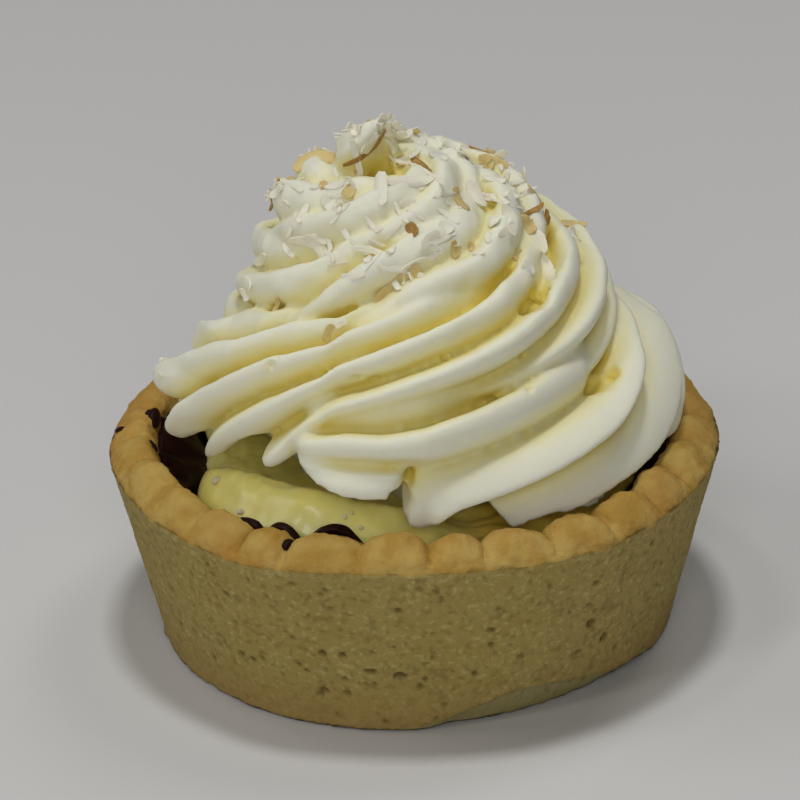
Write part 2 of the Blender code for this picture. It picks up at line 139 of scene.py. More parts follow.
def stations(table: Sequence[Sequence[float]], column: int, azimuths: Array) -> Array:
    """Read one column of a table of stations at the given azimuths."""
    rows = np.array(table, dtype=float)
    return np.interp(azimuths, rows[:, 0], rows[:, column])


def rounded(values: Array, width: int) -> Array:
    """Round the corners of a run of values over a number of samples.

    Args:
        values: The run of values.
        width: How many samples a corner takes.

    Returns:
        The rounded values.
    """
    weights = np.hanning(width)
    padded = np.pad(values, width // 2, mode="edge")
    return np.convolve(padded, weights / weights.sum(), "valid")[:len(values)]


def fractal(points: Array, size: float, octaves: int, seed: int) -> Array:
    """Give soft fractal noise at points.

    Args:
        points: Array (..., 3) in millimetres.
        size: Size of the largest lumps, in millimetres.
        octaves: Number of finer layers.
        seed: Shifts the pattern.

    Returns:
        Values of about -1 to 1 with the points' shape.
    """
    flat = points.reshape(-1, 3) / size + seed * 7.31
    values = [noise.fractal(Vector(point), 0.9, 2.1, octaves) for point in flat]
    return np.array(values).reshape(points.shape[:-1])


def polar(radius: Array, azimuth: Array, height: Array) -> Array:
    """Turn radius, azimuth in degrees and height into points.

    Args:
        radius: Distance from the pie's axis.
        azimuth: Azimuths in degrees.
        height: Height above the base.

    Returns:
        Array (..., 3) in the unit of the radius.
    """
    turn = np.radians(azimuth)
    radius, turn, height = np.broadcast_arrays(radius, turn, height)
    return np.stack([radius * np.cos(turn), radius * np.sin(turn), height], axis=-1)


def sampled(controls: Array, counts: Sequence[int], firm: Iterable[int]) -> Array:
    """Draw a smooth profile through control rings.

    Args:
        controls: Array (rings, around, 2) of radius and height.
        counts: Steps to take in each stretch between two control rings.
        firm: Stretches that stay straight.

    Returns:
        Array (more rings, around, 2).
    """
    rows = []
    last = len(controls) - 1
    for index, count in enumerate(counts):
        before, start = controls[max(index - 1, 0)], controls[index]
        end, after = controls[index + 1], controls[min(index + 2, last)]
        for step in range(count):
            t = step / count
            if index in firm:
                rows.append(start + (end - start) * t)
                continue
            rows.append(0.5 * (2 * start + (end - before) * t
                               + (2 * before - 5 * start + 4 * end - after) * t ** 2
                               + (3 * start - before - 3 * end + after) * t ** 3))
    rows.append(controls[-1])
    return np.array(rows)


def grid_normals(points: Array) -> Array:
    """Give the unit normals of a grid of points.

    Args:
        points: Array (rings, around, 3), which closes round its second axis.

    Returns:
        Array of the same shape.
    """
    along = np.gradient(points, axis=0)
    across = np.roll(points, -1, axis=1) - np.roll(points, 1, axis=1)
    return unit(np.cross(across, along))


def stacked(rings: Sequence[tuple], azimuth: Array) -> Array:
    """Stack rings, each a radius and a height, as an array (rings, around, 2)."""
    return np.array([np.stack(np.broadcast_arrays(*ring, azimuth)[:2], axis=-1) for ring in rings])


# modelling by hand


def start_clean() -> None:
    """Deselect everything, so that an operator acts on the new piece alone."""
    if bpy.context.mode != "OBJECT":
        bpy.ops.object.mode_set(mode="OBJECT")
    bpy.ops.object.select_all(action="DESELECT")


def pick(thing: Piece) -> None:
    """Select one object alone and make it active.

    Args:
        thing: The object.
    """
    start_clean()
    thing.select_set(True)
    bpy.context.view_layer.objects.active = thing


def added(name: str, data: bpy.types.ID) -> Piece:
    """Put new data in the scene.

    Args:
        name: Name of the object.
        data: Its mesh, light or camera.

    Returns:
        The object.
    """
    thing = bpy.data.objects.new(name, data)
    bpy.context.scene.collection.objects.link(thing)
    return thing


def surface(thing: Piece) -> BVHTree:
    """Give an object's surface, for rays to meet."""
    return BVHTree.FromObject(thing, bpy.context.evaluated_depsgraph_get())


def factors(count: int) -> list[int]:
    """Split a number of stretches into factors, for the divisions.

    Args:
        count: The number of stretches.

    Returns:
        Factors whose product is the count.
    """
    found = []
    rest = count
    for factor in DIVISORS:
        while rest % factor == 0 and rest > 1:
            found.append(factor)
            rest //= factor
    return found + [rest] if rest > 1 else found


def divided_cylinder(name: str, around: int, cuts: Sequence[int]) -> Piece:
    """Add a unit cylinder and divide its height into even rings in edit mode.

    Args:
        name: Name of the piece.
        around: Vertices round it, a multiple of four.
        cuts: Each entry divides every upright edge into so many more pieces.

    Returns:
        The new object, active and selected.
    """
    start_clean()
    bpy.ops.mesh.primitive_cylinder_add(vertices=around, radius=1, depth=1, end_fill_type="TRIFAN")
    thing = bpy.context.object
    thing.name = thing.data.name = name
    bpy.ops.object.mode_set(mode="EDIT")
    bpy.ops.mesh.select_mode(type="EDGE")
    for cut in cuts:
        bpy.ops.mesh.select_all(action="DESELECT")
        shape = bmesh.from_edit_mesh(thing.data)
        for edge in shape.edges:
            ends = [vert.co for vert in edge.verts]
            edge.select_set(abs(ends[0].z - ends[1].z) > 1e-6)
        bmesh.update_edit_mesh(thing.data)
        bpy.ops.mesh.subdivide(number_cuts=cut - 1)
    bpy.ops.object.mode_set(mode="OBJECT")
    return thing


def mould(thing: Piece, points: Array) -> None:
    """Move a divided cylinder's vertices to a grid of points.

    Args:
        thing: The divided cylinder.
        points: Array (rings, around, 3) in millimetres.
    """
    mesh = thing.data
    rings, around = points.shape[:2]
    place = np.empty(len(mesh.vertices) * 3)
    mesh.vertices.foreach_get("co", place)
    place = place.reshape(-1, 3)
    ring = np.clip(np.rint((place[:, 2] + 0.5) * (rings - 1)).astype(int), 0, rings - 1)
    turn = np.degrees(np.arctan2(place[:, 1], place[:, 0]))
    spot = np.rint(turn / 360 * around).astype(int) % around
    moved = points[ring, spot]
    middle = np.hypot(place[:, 0], place[:, 1]) < 0.5
    moved[middle & (ring == 0)] = points[0].mean(axis=0)
    moved[middle & (ring == rings - 1)] = points[-1].mean(axis=0)
    mesh.vertices.foreach_set("co", (moved * MM).ravel())
    mesh.update()
    face_outwards(thing)


def moulded(name: str, points: Array) -> Piece:
    """Model a closed piece from rings of points, as a divided cylinder moved to them.

    Args:
        name: Name of the piece.
        points: Array (rings, around, 3) in millimetres.

    Returns:
        The piece.
    """
    thing = divided_cylinder(name, points.shape[1], factors(len(points) - 1))
    mould(thing, points)
    return thing


def face_outwards(thing: Piece) -> None:
    """Recalculate an object's normals so that its faces point outwards.

    Args:
        thing: The object.
    """
    pick(thing)
    bpy.ops.object.mode_set(mode="EDIT")
    bpy.ops.mesh.select_all(action="SELECT")
    bpy.ops.mesh.normals_make_consistent(inside=False)
    bpy.ops.object.mode_set(mode="OBJECT")


def apply_all(thing: Piece) -> None:
    """Apply an object's modifiers in order.

    Args:
        thing: The object.
    """
    pick(thing)
    for modifier in list(thing.modifiers):
        bpy.ops.object.modifier_apply(modifier=modifier.name)


def joined(pieces: Sequence[Piece], name: str) -> Piece:
    """Join objects into one piece with a name.

    Args:
        pieces: The objects.
        name: Name of the piece.

    Returns:
        The piece.
    """
    start_clean()
    for piece in pieces:
        piece.select_set(True)
    bpy.context.view_layer.objects.active = pieces[0]
    if len(pieces) > 1:
        bpy.ops.object.join()
    thing = bpy.context.object
    thing.name = thing.data.name = name
    return thing


def coordinates(thing: Piece) -> Array:
    """Read an object's vertices in millimetres.

    Args:
        thing: The object.

    Returns:
        Array (vertices, 3).
    """
    place = np.empty(len(thing.data.vertices) * 3)
    thing.data.vertices.foreach_get("co", place)
    return place.reshape(-1, 3) / MM


def vertex_normals(thing: Piece) -> Array:
    """Read an object's vertex normals.

    Args:
        thing: The object.

    Returns:
        Array (vertices, 3).
    """
    normals = np.empty(len(thing.data.vertices) * 3)
    thing.data.vertex_normals.foreach_get("vector", normals)
    return normals.reshape(-1, 3)


def move_to(thing: Piece, points: Array) -> None:
    """Write an object's vertices, given in millimetres."""
    thing.data.vertices.foreach_set("co", (points * MM).ravel())
    thing.data.update()


def mark(thing: Piece, name: str, values: Array) -> None:
    """Store one number per vertex as an attribute that a material can read."""
    layer = thing.data.attributes.new(name, "FLOAT", "POINT")
    layer.data.foreach_set("value", np.ascontiguousarray(values, dtype=np.float32))


def mark_hollows(thing: Piece, reach: float, rays: int) -> None:
    """Store how enclosed each vertex is, from 0 in the open to 1 deep in a groove, for the painted shade in
    hollows.

    Args:
        thing: The piece to look at.
        reach: How far, in millimetres, its own surface is looked for.
        rays: Number of directions tried from each vertex.
    """
    tree = surface(thing)
    points = coordinates(thing) * MM
    normals = vertex_normals(thing)
    spiral = np.arange(rays)
    rise = 0.12 + 0.88 * (spiral + 0.5) / rays
    turn = spiral * GOLDEN_TURN
    flat = np.sqrt(1 - rise ** 2)
    hidden = np.zeros(len(points))
    helper = np.where(np.abs(normals[:, 2:3]) < 0.9, [[0.0, 0.0, 1.0]], [[1.0, 0.0, 0.0]])
    side = unit(np.cross(normals, helper))
    up = np.cross(normals, side)
    starts = points + normals * 0.05 * MM
    for index in range(rays):
        aims = (normals * rise[index] + side * flat[index] * math.cos(turn[index])
                + up * flat[index] * math.sin(turn[index]))
        for number, (start, aim) in enumerate(zip(starts, aims)):
            distance = tree.ray_cast(start, aim, reach * MM)[3]
            if distance is not None:
                hidden[number] += 1 - distance / (reach * MM) * 0.5
    mark(thing, "hollow", evened(thing, hidden / rays, 6))


def evened(thing: Piece, values: Array, rounds: int) -> Array:
    """Average a value per vertex with the neighbours' values, a number of times.

    Args:
        thing: The object.
        values: One value for each vertex.
        rounds: How many times.

    Returns:
        The evened values.
    """
    ends = np.empty(len(thing.data.edges) * 2, dtype=np.int32)
    thing.data.edges.foreach_get("vertices", ends)
    first, second = ends.reshape(-1, 2).T
    count = np.bincount(ends, minlength=len(values))
    for _ in range(rounds):
        near = (np.bincount(first, values[second], len(values))
                + np.bincount(second, values[first], len(values)))
        values = 0.4 * values + 0.6 * near / np.maximum(count, 1)
    return values


def smooth_shading(thing: Piece, angle: float = 180.0) -> None:
    """Shade an object smooth, with creases sharper than an angle in degrees kept.

    Args:
        thing: The object.
        angle: Creases up to this angle are shaded smooth.
    """
    pick(thing)
    if angle < 180:
        bpy.ops.object.shade_smooth_by_angle(angle=math.radians(angle))
    else:
        bpy.ops.object.shade_smooth()


# shader node toolkit


class Nodes:
    """Adds and links nodes in one node tree."""

    def __init__(self, tree: bpy.types.NodeTree) -> None:
        """Take the tree to write in."""
        self.tree = tree

    def add(self, kind: str, **settings: object) -> bpy.types.Node:
        """Add a node and set its properties.

        Args:
            kind: Type of the node.
            **settings: Its properties.

        Returns:
            The node.
        """
        node = self.tree.nodes.new(kind)
        for name, value in settings.items():
            setattr(node, name, value)
        return node

    def link(self, source: Socket, target: Socket) -> None:
        """Link two sockets."""
        self.tree.links.new(source, target)

    def feed(self, target: Socket, value: object) -> None:
        """Link a socket to a target, or set the target to a plain value.

        Args:
            target: The input.
            value: An output, or a plain value.
        """
        if isinstance(value, Socket):
            self.link(value, target)
        else:
            target.default_value = (*value, 1.0) if target.type == "RGBA" else value

    def feed_all(self, node: bpy.types.Node, values: dict[str, object]) -> None:
        """Feed a node's inputs by their names."""
        for name, value in values.items():
            self.feed(node.inputs[name], value)

    def maths(self, operation: str, first: object, second: object, clamp: bool = False) -> Socket:
        """Add a Math node on two values or sockets, and return its output.

        Args:
            operation: Name of the sum.
            first: First value or output.
            second: Second value or output.
            clamp: Whether to keep the result from 0 to 1.

        Returns:
            The node's output.
        """
        node = self.add("ShaderNodeMath", operation=operation, use_clamp=clamp)
        self.feed(node.inputs[0], first)
        self.feed(node.inputs[1], second)
        return node.outputs[0]

    def blend(self, share: object, first: object, second: object, mode: str = "MIX") -> Socket:
        """Mix two colours by a share, and return the colour.

        Args:
            share: How much of the second colour.
            first: First colour or output.
            second: Second colour or output.
            mode: How they mix.

        Returns:
            The colour.
        """
        node = self.add("ShaderNodeMix", data_type="RGBA", blend_type=mode)
        self.feed(node.inputs["Factor"], share)
        self.feed(node.inputs[6], first)
        self.feed(node.inputs[7], second)
        return node.outputs[2]

    def times(self, first: object, second: object) -> Socket:
        """Multiply two values or sockets."""
        return self.maths("MULTIPLY", first, second)

    def tinted(self, colour: Socket, mask: Socket, strength: float, tint: Colour) -> Socket:
        """Lay a tint over a colour where a mask says, up to a strength."""
        return self.blend(self.times(mask, strength), colour, tint)

    def speckle(self, place: Socket, scale: float, detail: float, low: float, high: float) -> Socket:
        """Give a mask of noise, from 0 where it is low to 1 where it is high."""
        return self.span(self.noise(place, scale, detail), low, high)

    def span(self, value: object, low: object, high: object, first: float = 0.0,
             last: float = 1.0) -> Socket:
        """Map a value from one range to another, smoothly and clamped.

        Args:
            value: The value to map.
            low: Where the range begins.
            high: Where it ends.
            first: Result where it begins.
            last: Result where it ends.

        Returns:
            The result.
        """
        node = self.add("ShaderNodeMapRange", interpolation_type="SMOOTHSTEP")
        self.feed_all(node, {"Value": value, "From Min": low, "From Max": high, "To Min": first,
                             "To Max": last})
        return node.outputs["Result"]

    def noise(self, vector: object, scale: object, detail: float) -> Socket:
        """Add a noise texture of a scale and return its value.

        Args:
            vector: Where to read it.
            scale: Its fineness.
            detail: Its layers.

        Returns:
            The noise's value.
        """
        node = self.add("ShaderNodeTexNoise")
        self.feed_all(node, {"Vector": vector, "Scale": scale, "Detail": detail})
        return node.outputs["Fac"]

    def attribute(self, name: str) -> Socket:
        """Read a number that the mesh carries at each vertex."""
        return self.add("ShaderNodeAttribute", attribute_name=name).outputs["Fac"]

    def axis(self, place: Socket, name: str) -> Socket:
        """Read one axis of a place.

        Args:
            place: The place.
            name: X, Y or Z.

        Returns:
            The place along that axis.
        """
        split = self.add("ShaderNodeSeparateXYZ")
        self.link(place, split.inputs["Vector"])
        return split.outputs[name]


def group_tree(name: str, inputs: Sequence[tuple[str, str, object]],
               outputs: Sequence[tuple[str, str]]) -> tuple:
    """Make an empty shader node group with named sockets.

    Args:
        name: Name of the group.
        inputs: Name, socket type and default of each input.
        outputs: Name and socket type of each output.

    Returns:
        The tree, a Nodes helper for it, and its input and output nodes.
    """
    tree = bpy.data.node_groups.new(name, "ShaderNodeTree")
    for label, kind, default in inputs:
        socket = tree.interface.new_socket(name=label, in_out="INPUT", socket_type=kind)
        if default is not None:
            socket.default_value = default
    for label, kind in outputs:
        tree.interface.new_socket(name=label, in_out="OUTPUT", socket_type=kind)
    nodes = Nodes(tree)
    return tree, nodes, nodes.add("NodeGroupInput"), nodes.add("NodeGroupOutput")


class SurfaceEffects:
    """The effects that several finishes share, each a node group built once."""

    def __init__(self) -> None:
        """Build the groups."""
        self.patches = self._patches()
        self.grain = self._grain()
        self.painted_hollow_shade = self._painted_hollow_shade()

    @staticmethod
    def _patches() -> bpy.types.NodeTree:
        """Uneven colour: broad and fine patches between two colours.

        Returns:
            The node group.
        """
        tree, nodes, inside, outside = group_tree(
            "uneven colour",
            [("Vector", "NodeSocketVector", None), ("Scale", "NodeSocketFloat", 200.0),
             ("Plain", "NodeSocketColor", (1, 1, 1, 1)), ("Patch", "NodeSocketColor", (0, 0, 0, 1)),
             ("Amount", "NodeSocketFloat", 0.5)],
            [("Color", "NodeSocketColor")])
        vector, scale = inside.outputs["Vector"], inside.outputs["Scale"]
        broad = nodes.times(nodes.noise(vector, scale, 4.0), 0.62)
        fine = nodes.times(nodes.noise(vector, nodes.times(scale, 5.5), 4.0), 0.38)
        mixed = nodes.maths("ADD", broad, fine)
        mask = nodes.span(mixed, 0.38, 0.64)
        share = nodes.maths("MULTIPLY", mask, inside.outputs["Amount"], clamp=True)
        colour = nodes.blend(share, inside.outputs["Plain"], inside.outputs["Patch"])
        nodes.link(colour, outside.inputs["Color"])
        return tree

    @staticmethod
    def _grain() -> bpy.types.NodeTree:
        """Fine relief as a normal, from two layers of noise.

        Returns:
            The node group.
        """
        tree, nodes, inside, outside = group_tree(
            "fine grain",
            [("Vector", "NodeSocketVector", None), ("Scale", "NodeSocketFloat", 1500.0),
             ("Strength", "NodeSocketFloat", 0.3), ("Distance", "NodeSocketFloat", 0.0002)],
            [("Normal", "NodeSocketVector")])
        vector, scale = inside.outputs["Vector"], inside.outputs["Scale"]
        heights = [nodes.times(nodes.noise(vector, nodes.times(scale, factor), 5.0), weight)
                   for factor, weight in ((1.0, 0.6), (3.1, 0.4))]
        bump = nodes.add("ShaderNodeBump")
        strength, distance = inside.outputs["Strength"], inside.outputs["Distance"]
        nodes.feed_all(bump, {"Strength": strength, "Distance": distance,
                              "Height": nodes.maths("ADD", *heights)})
        nodes.link(bump.outputs["Normal"], outside.inputs["Normal"])
        return tree

    @staticmethod
    def _painted_hollow_shade() -> bpy.types.NodeTree:
        """Painted shade: a colour that deepens where the surface is enclosed.

        Returns:
            The node group.
        """
        tree, nodes, inside, outside = group_tree(
            "painted shade in hollows",
            [("Color", "NodeSocketColor", (1, 1, 1, 1)), ("HollowShade", "NodeSocketColor", (0, 0, 0, 1)),
             ("Hollow", "NodeSocketFloat", 0.0), ("From", "NodeSocketFloat", 0.1),
             ("To", "NodeSocketFloat", 0.7)],
            [("Color", "NodeSocketColor")])
        depth = nodes.span(*(inside.outputs[name] for name in ("Hollow", "From", "To")))
        mixed = nodes.blend(depth, inside.outputs["Color"], inside.outputs["HollowShade"])
        nodes.link(mixed, outside.inputs["Color"])
        return tree

    def place(self, nodes: Nodes, tree: bpy.types.NodeTree, **values: object) -> bpy.types.Node:
        """Place a group in a material and feed its named inputs.

        Args:
            nodes: The material's nodes.
            tree: The group.
            **values: A value or an output for each input.

        Returns:
            The group's node.
        """
        node = nodes.add("ShaderNodeGroup", node_tree=tree)
        nodes.feed_all(node, values)
        return node


@dataclass(frozen=True)
class Gloss:
    """How a finish reflects and passes light.

    Attributes:
        roughness: Roughness of the surface.
        coat: Weight of a clear wet film.
        coat_roughness: Roughness of that film.
        specular: Specular level.
        subsurface: Weight of the light that passes inside.
        radius: How far red, green and blue pass, in millimetres.
    """

    roughness: float
    coat: float = 0.0
    coat_roughness: float = 0.1
    specular: float = 0.5
    subsurface: float = 0.0
    radius: Colour = (1.0, 0.8, 0.4)


@dataclass(frozen=True)
class Finish:
    """One food surface: its colours, relief and gloss.

    Attributes:
        name: Name of the material.
        plain: Main colour, linear.
        patch: Colour of its uneven patches.
        patch_scale: Fineness of the patches.
        patch_amount: How far a patch takes its own colour.
        deep: Painted shade colour in hollows.
        hollow_shade_from: Hollow value at which the painted shade begins.
        hollow_shade_to: Hollow value at which it is complete.
        grain_scale: Fineness of the relief.
        grain: Strength of the relief.
        gloss: Reflection and translucency.
    """

    name: str
    plain: Colour
    patch: Colour
    patch_scale: float
    patch_amount: float
    deep: Colour
    hollow_shade_from: float
    hollow_shade_to: float
    grain_scale: float
    grain: float
    gloss: Gloss

    def shader(self, nodes: Nodes) -> bpy.types.Node:
        """Make the Principled shader with the values that are the same all over.

        Args:
            nodes: The material's nodes.

        Returns:
            The shader's node.
        """
        shader = nodes.tree.nodes["Principled BSDF"]
        gloss = self.gloss
        for name, value in (("Roughness", gloss.roughness), ("Coat Weight", gloss.coat),
                            ("Coat Roughness", gloss.coat_roughness), ("Specular IOR Level", gloss.specular),
                            ("Subsurface Weight", gloss.subsurface), ("Subsurface Scale", 1.0),
                            ("Subsurface Radius", tuple(reach * MM for reach in gloss.radius))):
            shader.inputs[name].default_value = value
        return shader

    def material(self, effects: SurfaceEffects, dress: Callable | None = None) -> bpy.types.Material:
        """Build the material.

        Args:
            effects: The shared node groups.
            dress: Changes the colour further, given nodes, position and colour.

        Returns:
            The material.
        """
        material = bpy.data.materials.new(self.name)
        material.use_nodes = True
        nodes = Nodes(material.node_tree)
        shader = self.shader(nodes)
        place = nodes.add("ShaderNodeTexCoord").outputs["Object"]
        patches = effects.place(
            nodes, effects.patches, Vector=place, Scale=self.patch_scale, Plain=self.plain,
            Patch=self.patch, Amount=self.patch_amount)
        colour = patches.outputs["Color"]
        if dress is not None:
            colour = dress(nodes, place, colour)
        # painted shade: the deep colour where the hollow attribute marks the surface as enclosed
        tint = effects.place(
            nodes, effects.painted_hollow_shade, Color=colour, HollowShade=self.deep,
            Hollow=nodes.attribute("hollow"), From=self.hollow_shade_from, To=self.hollow_shade_to)
        nodes.link(tint.outputs["Color"], shader.inputs["Base Color"])
        grain = effects.place(
            nodes, effects.grain, Vector=place, Scale=self.grain_scale, Strength=self.grain,
            Distance=0.0003)
        nodes.link(grain.outputs["Normal"], shader.inputs["Normal"])
        return material


CRUST_FINISH = Finish(
    "baked crust", plain=(0.395, 0.302, 0.092), patch=(0.36, 0.26, 0.072), patch_scale=260, patch_amount=0.7,
    deep=(0.16, 0.09, 0.025), hollow_shade_from=0.25, hollow_shade_to=0.75, grain_scale=1500, grain=0.9,
    gloss=Gloss(roughness=0.8, specular=0.2))
CHOCOLATE_FINISH = Finish(
    "dark chocolate", plain=(0.022, 0.006, 0.0045), patch=(0.012, 0.003, 0.0025), patch_scale=300,
    patch_amount=0.6, deep=(0.004, 0.001, 0.001), hollow_shade_from=0.3, hollow_shade_to=0.9, grain_scale=700,
    grain=0.05, gloss=Gloss(roughness=0.45, specular=0.10))
CUSTARD_FINISH = Finish(
    "custard", plain=(1.0, 0.86, 0.24), patch=(1.0, 0.90, 0.38), patch_scale=160, patch_amount=0.6,
    deep=(0.80, 0.62, 0.08), hollow_shade_from=0.3, hollow_shade_to=0.8, grain_scale=900, grain=0.10,
    gloss=Gloss(roughness=0.36, coat=0.22, coat_roughness=0.16, subsurface=0.35, radius=(2.0, 1.4, 0.4)))
# the cream's deep colour is painted shade, yellow in its grooves
CREAM_FINISH = Finish(
    "whipped cream", plain=(0.90, 0.89, 0.73), patch=(0.89, 0.87, 0.69), patch_scale=120, patch_amount=0.5,
    deep=(0.80, 0.67, 0.16), hollow_shade_from=0.26, hollow_shade_to=0.66, grain_scale=1800, grain=0.10,
    gloss=Gloss(roughness=0.55, specular=0.25, subsurface=0.30, radius=(1.6, 1.3, 0.5)))
WHITE_COCONUT = Finish(
    "white coconut", plain=(0.94, 0.90, 0.74), patch=(0.90, 0.85, 0.64), patch_scale=400, patch_amount=0.6,
    deep=(0.7, 0.66, 0.45), hollow_shade_from=0.2, hollow_shade_to=0.8, grain_scale=1600, grain=0.25,
    gloss=Gloss(roughness=0.6, specular=0.25, subsurface=0.20, radius=(0.5, 0.5, 0.5)))
TOASTED_COCONUT = Finish(
    "toasted coconut", plain=(0.76, 0.60, 0.27), patch=(0.66, 0.46, 0.16), patch_scale=500,
    patch_amount=0.7, deep=(0.45, 0.3, 0.1), hollow_shade_from=0.2, hollow_shade_to=0.8, grain_scale=1600, grain=0.3,
    gloss=Gloss(roughness=0.5, specular=0.4, subsurface=0.2, radius=(1.0, 0.6, 0.3)))
BROWN_COCONUT = Finish(
    "browned coconut", plain=(0.52, 0.31, 0.075), patch=(0.34, 0.16, 0.03), patch_scale=500,
    patch_amount=0.8, deep=(0.15, 0.06, 0.02), hollow_shade_from=0.2, hollow_shade_to=0.8, grain_scale=1600,
    grain=0.3, gloss=Gloss(roughness=0.5, specular=0.4))
CRUMB_FINISH = Finish(
    "pale crumbs", plain=(0.82, 0.79, 0.60), patch=(0.72, 0.64, 0.40), patch_scale=600, patch_amount=0.6,
    deep=(0.6, 0.5, 0.3), hollow_shade_from=0.2, hollow_shade_to=0.8, grain_scale=1400, grain=0.5,
    gloss=Gloss(roughness=0.6, specular=0.4, subsurface=0.15))


def ride_as(thing: Piece, material: bpy.types.Material, nodes: Sequence[str] = (),
            slot: str | None = None) -> None:
    """Dress a finished piece and tie it to the frame.

    Args:
        thing: The piece.
        material: Its material.
        nodes: CAD nodes that it stands for.
        slot: The record's material slot; not used.
    """
    thing.data.materials.clear()
    thing.data.materials.append(material)
    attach(thing, "root")
    if nodes:
        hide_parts(*nodes)
    thing.data.calc_loop_triangles()
    LOG.info("%s: %d triangles", thing.name, len(thing.data.loop_triangles))


# camera


@dataclass
class PhotoCamera:
    """The camera that took the photograph, fitted to the pie's rim and base.

    Attributes:
        distance: From the point it looks at, in millimetres.
        elevation: Above the level, in degrees.
        target: The point it looks at, in millimetres.
        roll: Turn of the picture, in degrees.
        focal: Focal length in pixels of the photograph.
        frame_pixels: Width of the photograph, in pixels.
        sensor: Width of the sensor, in millimetres.
    """

    distance: float = 600.0
    elevation: float = 25.59
    target: tuple[float, float, float] = (-1.59, 0.0, 30.82)
    roll: float = -1.75
    focal: float = 4563.0
    frame_pixels: float = 800.0
    sensor: float = 36.0

    def stance(self) -> tuple[Vector, Quaternion]:
        """Give its place in metres and its rotation.

        Returns:
            The place and the rotation.
        """
        rise = math.radians(self.elevation)
        back = Vector((0.0, -math.cos(rise), math.sin(rise)))
        place = (Vector(self.target) + back * self.distance) * MM
        turn = (-back).to_track_quat("-Z", "Y") @ Quaternion((0, 0, 1), math.radians(self.roll))
        return place, turn

    def ray(self, pixel: Pixel) -> tuple[Vector, Vector]:
        """Give the start and direction of the ray through a pixel of the photograph.

        Args:
            pixel: Column and row in the photograph.

        Returns:
            The start in metres and the direction.
        """
        place, turn = self.stance()
        half = self.frame_pixels / 2
        aim = turn @ Vector(((pixel[0] - half) / self.focal, (half - pixel[1]) / self.focal, -1.0))
        return place, aim.normalized()

    def hit(self, tree: BVHTree, pixel: Pixel) -> tuple[Vector | None, Vector | None]:
        """Find where the ray through a pixel meets a surface, and the normal there."""
        return tree.ray_cast(*self.ray(pixel))[:2]

    def on_plane(self, pixels: Sequence[Pixel], place: Array, normal: Array) -> Array:
        """Find where the rays through pixels meet a plane.

        Args:
            pixels: Pixels of the photograph.
            place: A point of the plane, in metres.
            normal: The plane's normal.

        Returns:
            The points, in millimetres.
        """
        found = []
        for pixel in pixels:
            begin, ray = (np.array(value) for value in self.ray(tuple(pixel)))
            distance = ((place - begin) @ normal) / (ray @ normal)
            found.append((begin + ray * distance) / MM)
        return np.array(found)

    def build(self) -> None:
        """Add the camera and make it the scene's."""
        lens = bpy.data.cameras.new("photo camera")
        lens.sensor_width = self.sensor
        lens.lens = self.focal / self.frame_pixels * self.sensor
        lens.clip_start = 0.01
        thing = added("photo camera", lens)
        thing.location, turn = self.stance()
        thing.rotation_mode = "QUATERNION"
        thing.rotation_quaternion = turn
        bpy.context.scene.camera = thing


@dataclass(frozen=True)
class SoftLight:
    """One square soft light that looks at the pie.

    Attributes:
        name: Name of the light.
        azimuth: Where it hangs round the pie, in degrees.
        elevation: How high it hangs, in degrees.
        size: Side in metres.
        power: Power in watts.
    """

    name: str
    azimuth: float
    elevation: float
    size: float
    power: float

    def place(self, distance: float, aim: Vector) -> Vector:
        """Give its place at a distance from the point it looks at.

        Args:
            distance: From that point, in metres.
            aim: The point.

        Returns:
            The place, in metres.
        """
        turn, rise = math.radians(self.azimuth), math.radians(self.elevation)
        flat = math.cos(rise)
        return aim + distance * Vector((flat * math.cos(turn), flat * math.sin(turn), math.sin(rise)))


@dataclass
class Studio:
    """A plain pale floor and soft lights.

    Attributes:
        floor_size: Side of the floor, in metres.
        floor_colour: Its colour.
        floor_roughness: Its roughness.
        floor_specular: Its specular level.
        world_strength: Light from all round.
        distance: From the lights to the pie, in metres.
        aim: The point that the lights look at, in metres.
        lights: The soft lights.
    """

    floor_size: float = 6.0
    floor_colour: Colour = (0.706, 0.698, 0.684)
    floor_roughness: float = 0.7
    floor_specular: float = 0.2
    world_strength: float = 0.012
    distance: float = 1.0
    aim: tuple[float, float, float] = (0.0, 0.0, 0.03)
    lights: tuple[SoftLight, ...] = (
        SoftLight("overhead light", 90, 89, 0.14, 2.85),
        SoftLight("left overhead light", 180, 72, 0.14, 0.5),
        SoftLight("back right light", 45, 60, 0.30, 1.25),
        SoftLight("left light", 180, 35, 0.40, 1.2),
        SoftLight("front left light", 225, 42, 0.14, 0.75),
        SoftLight("front light", 270, 30, 0.40, 1.75),
        SoftLight("low front light", 270, 14, 0.50, 0.6),
    )

    def build(self) -> None:
        """Add the floor, the world and the lights."""
        start_clean()
        bpy.ops.mesh.primitive_plane_add(size=self.floor_size)
        floor = bpy.context.object
        floor.name = "floor"
        material = bpy.data.materials.new("pale floor")
        material.use_nodes = True
        shader = material.node_tree.nodes["Principled BSDF"]
        shader.inputs["Base Color"].default_value = (*self.floor_colour, 1.0)
        shader.inputs["Roughness"].default_value = self.floor_roughness
        shader.inputs["Specular IOR Level"].default_value = self.floor_specular
        floor.data.materials.append(material)

        world = bpy.data.worlds.new("soft room")
        world.use_nodes = True
        sky = world.node_tree.nodes["Background"]
        sky.inputs["Color"].default_value = (1.0, 1.0, 1.0, 1.0)
        sky.inputs["Strength"].default_value = self.world_strength
        bpy.context.scene.world = world
        aim = Vector(self.aim)
        for light in self.lights:
            lamp = bpy.data.lights.new(light.name, "AREA")
            lamp.size = light.size
            lamp.energy = light.power
            thing = added(light.name, lamp)
            thing.location = light.place(self.distance, aim)
            thing.rotation_mode = "QUATERNION"
            thing.rotation_quaternion = (aim - thing.location).to_track_quat("-Z", "Y")
        view = bpy.context.scene.view_settings
        view.view_transform = "Standard"
        view.look = "None"


# pastry case


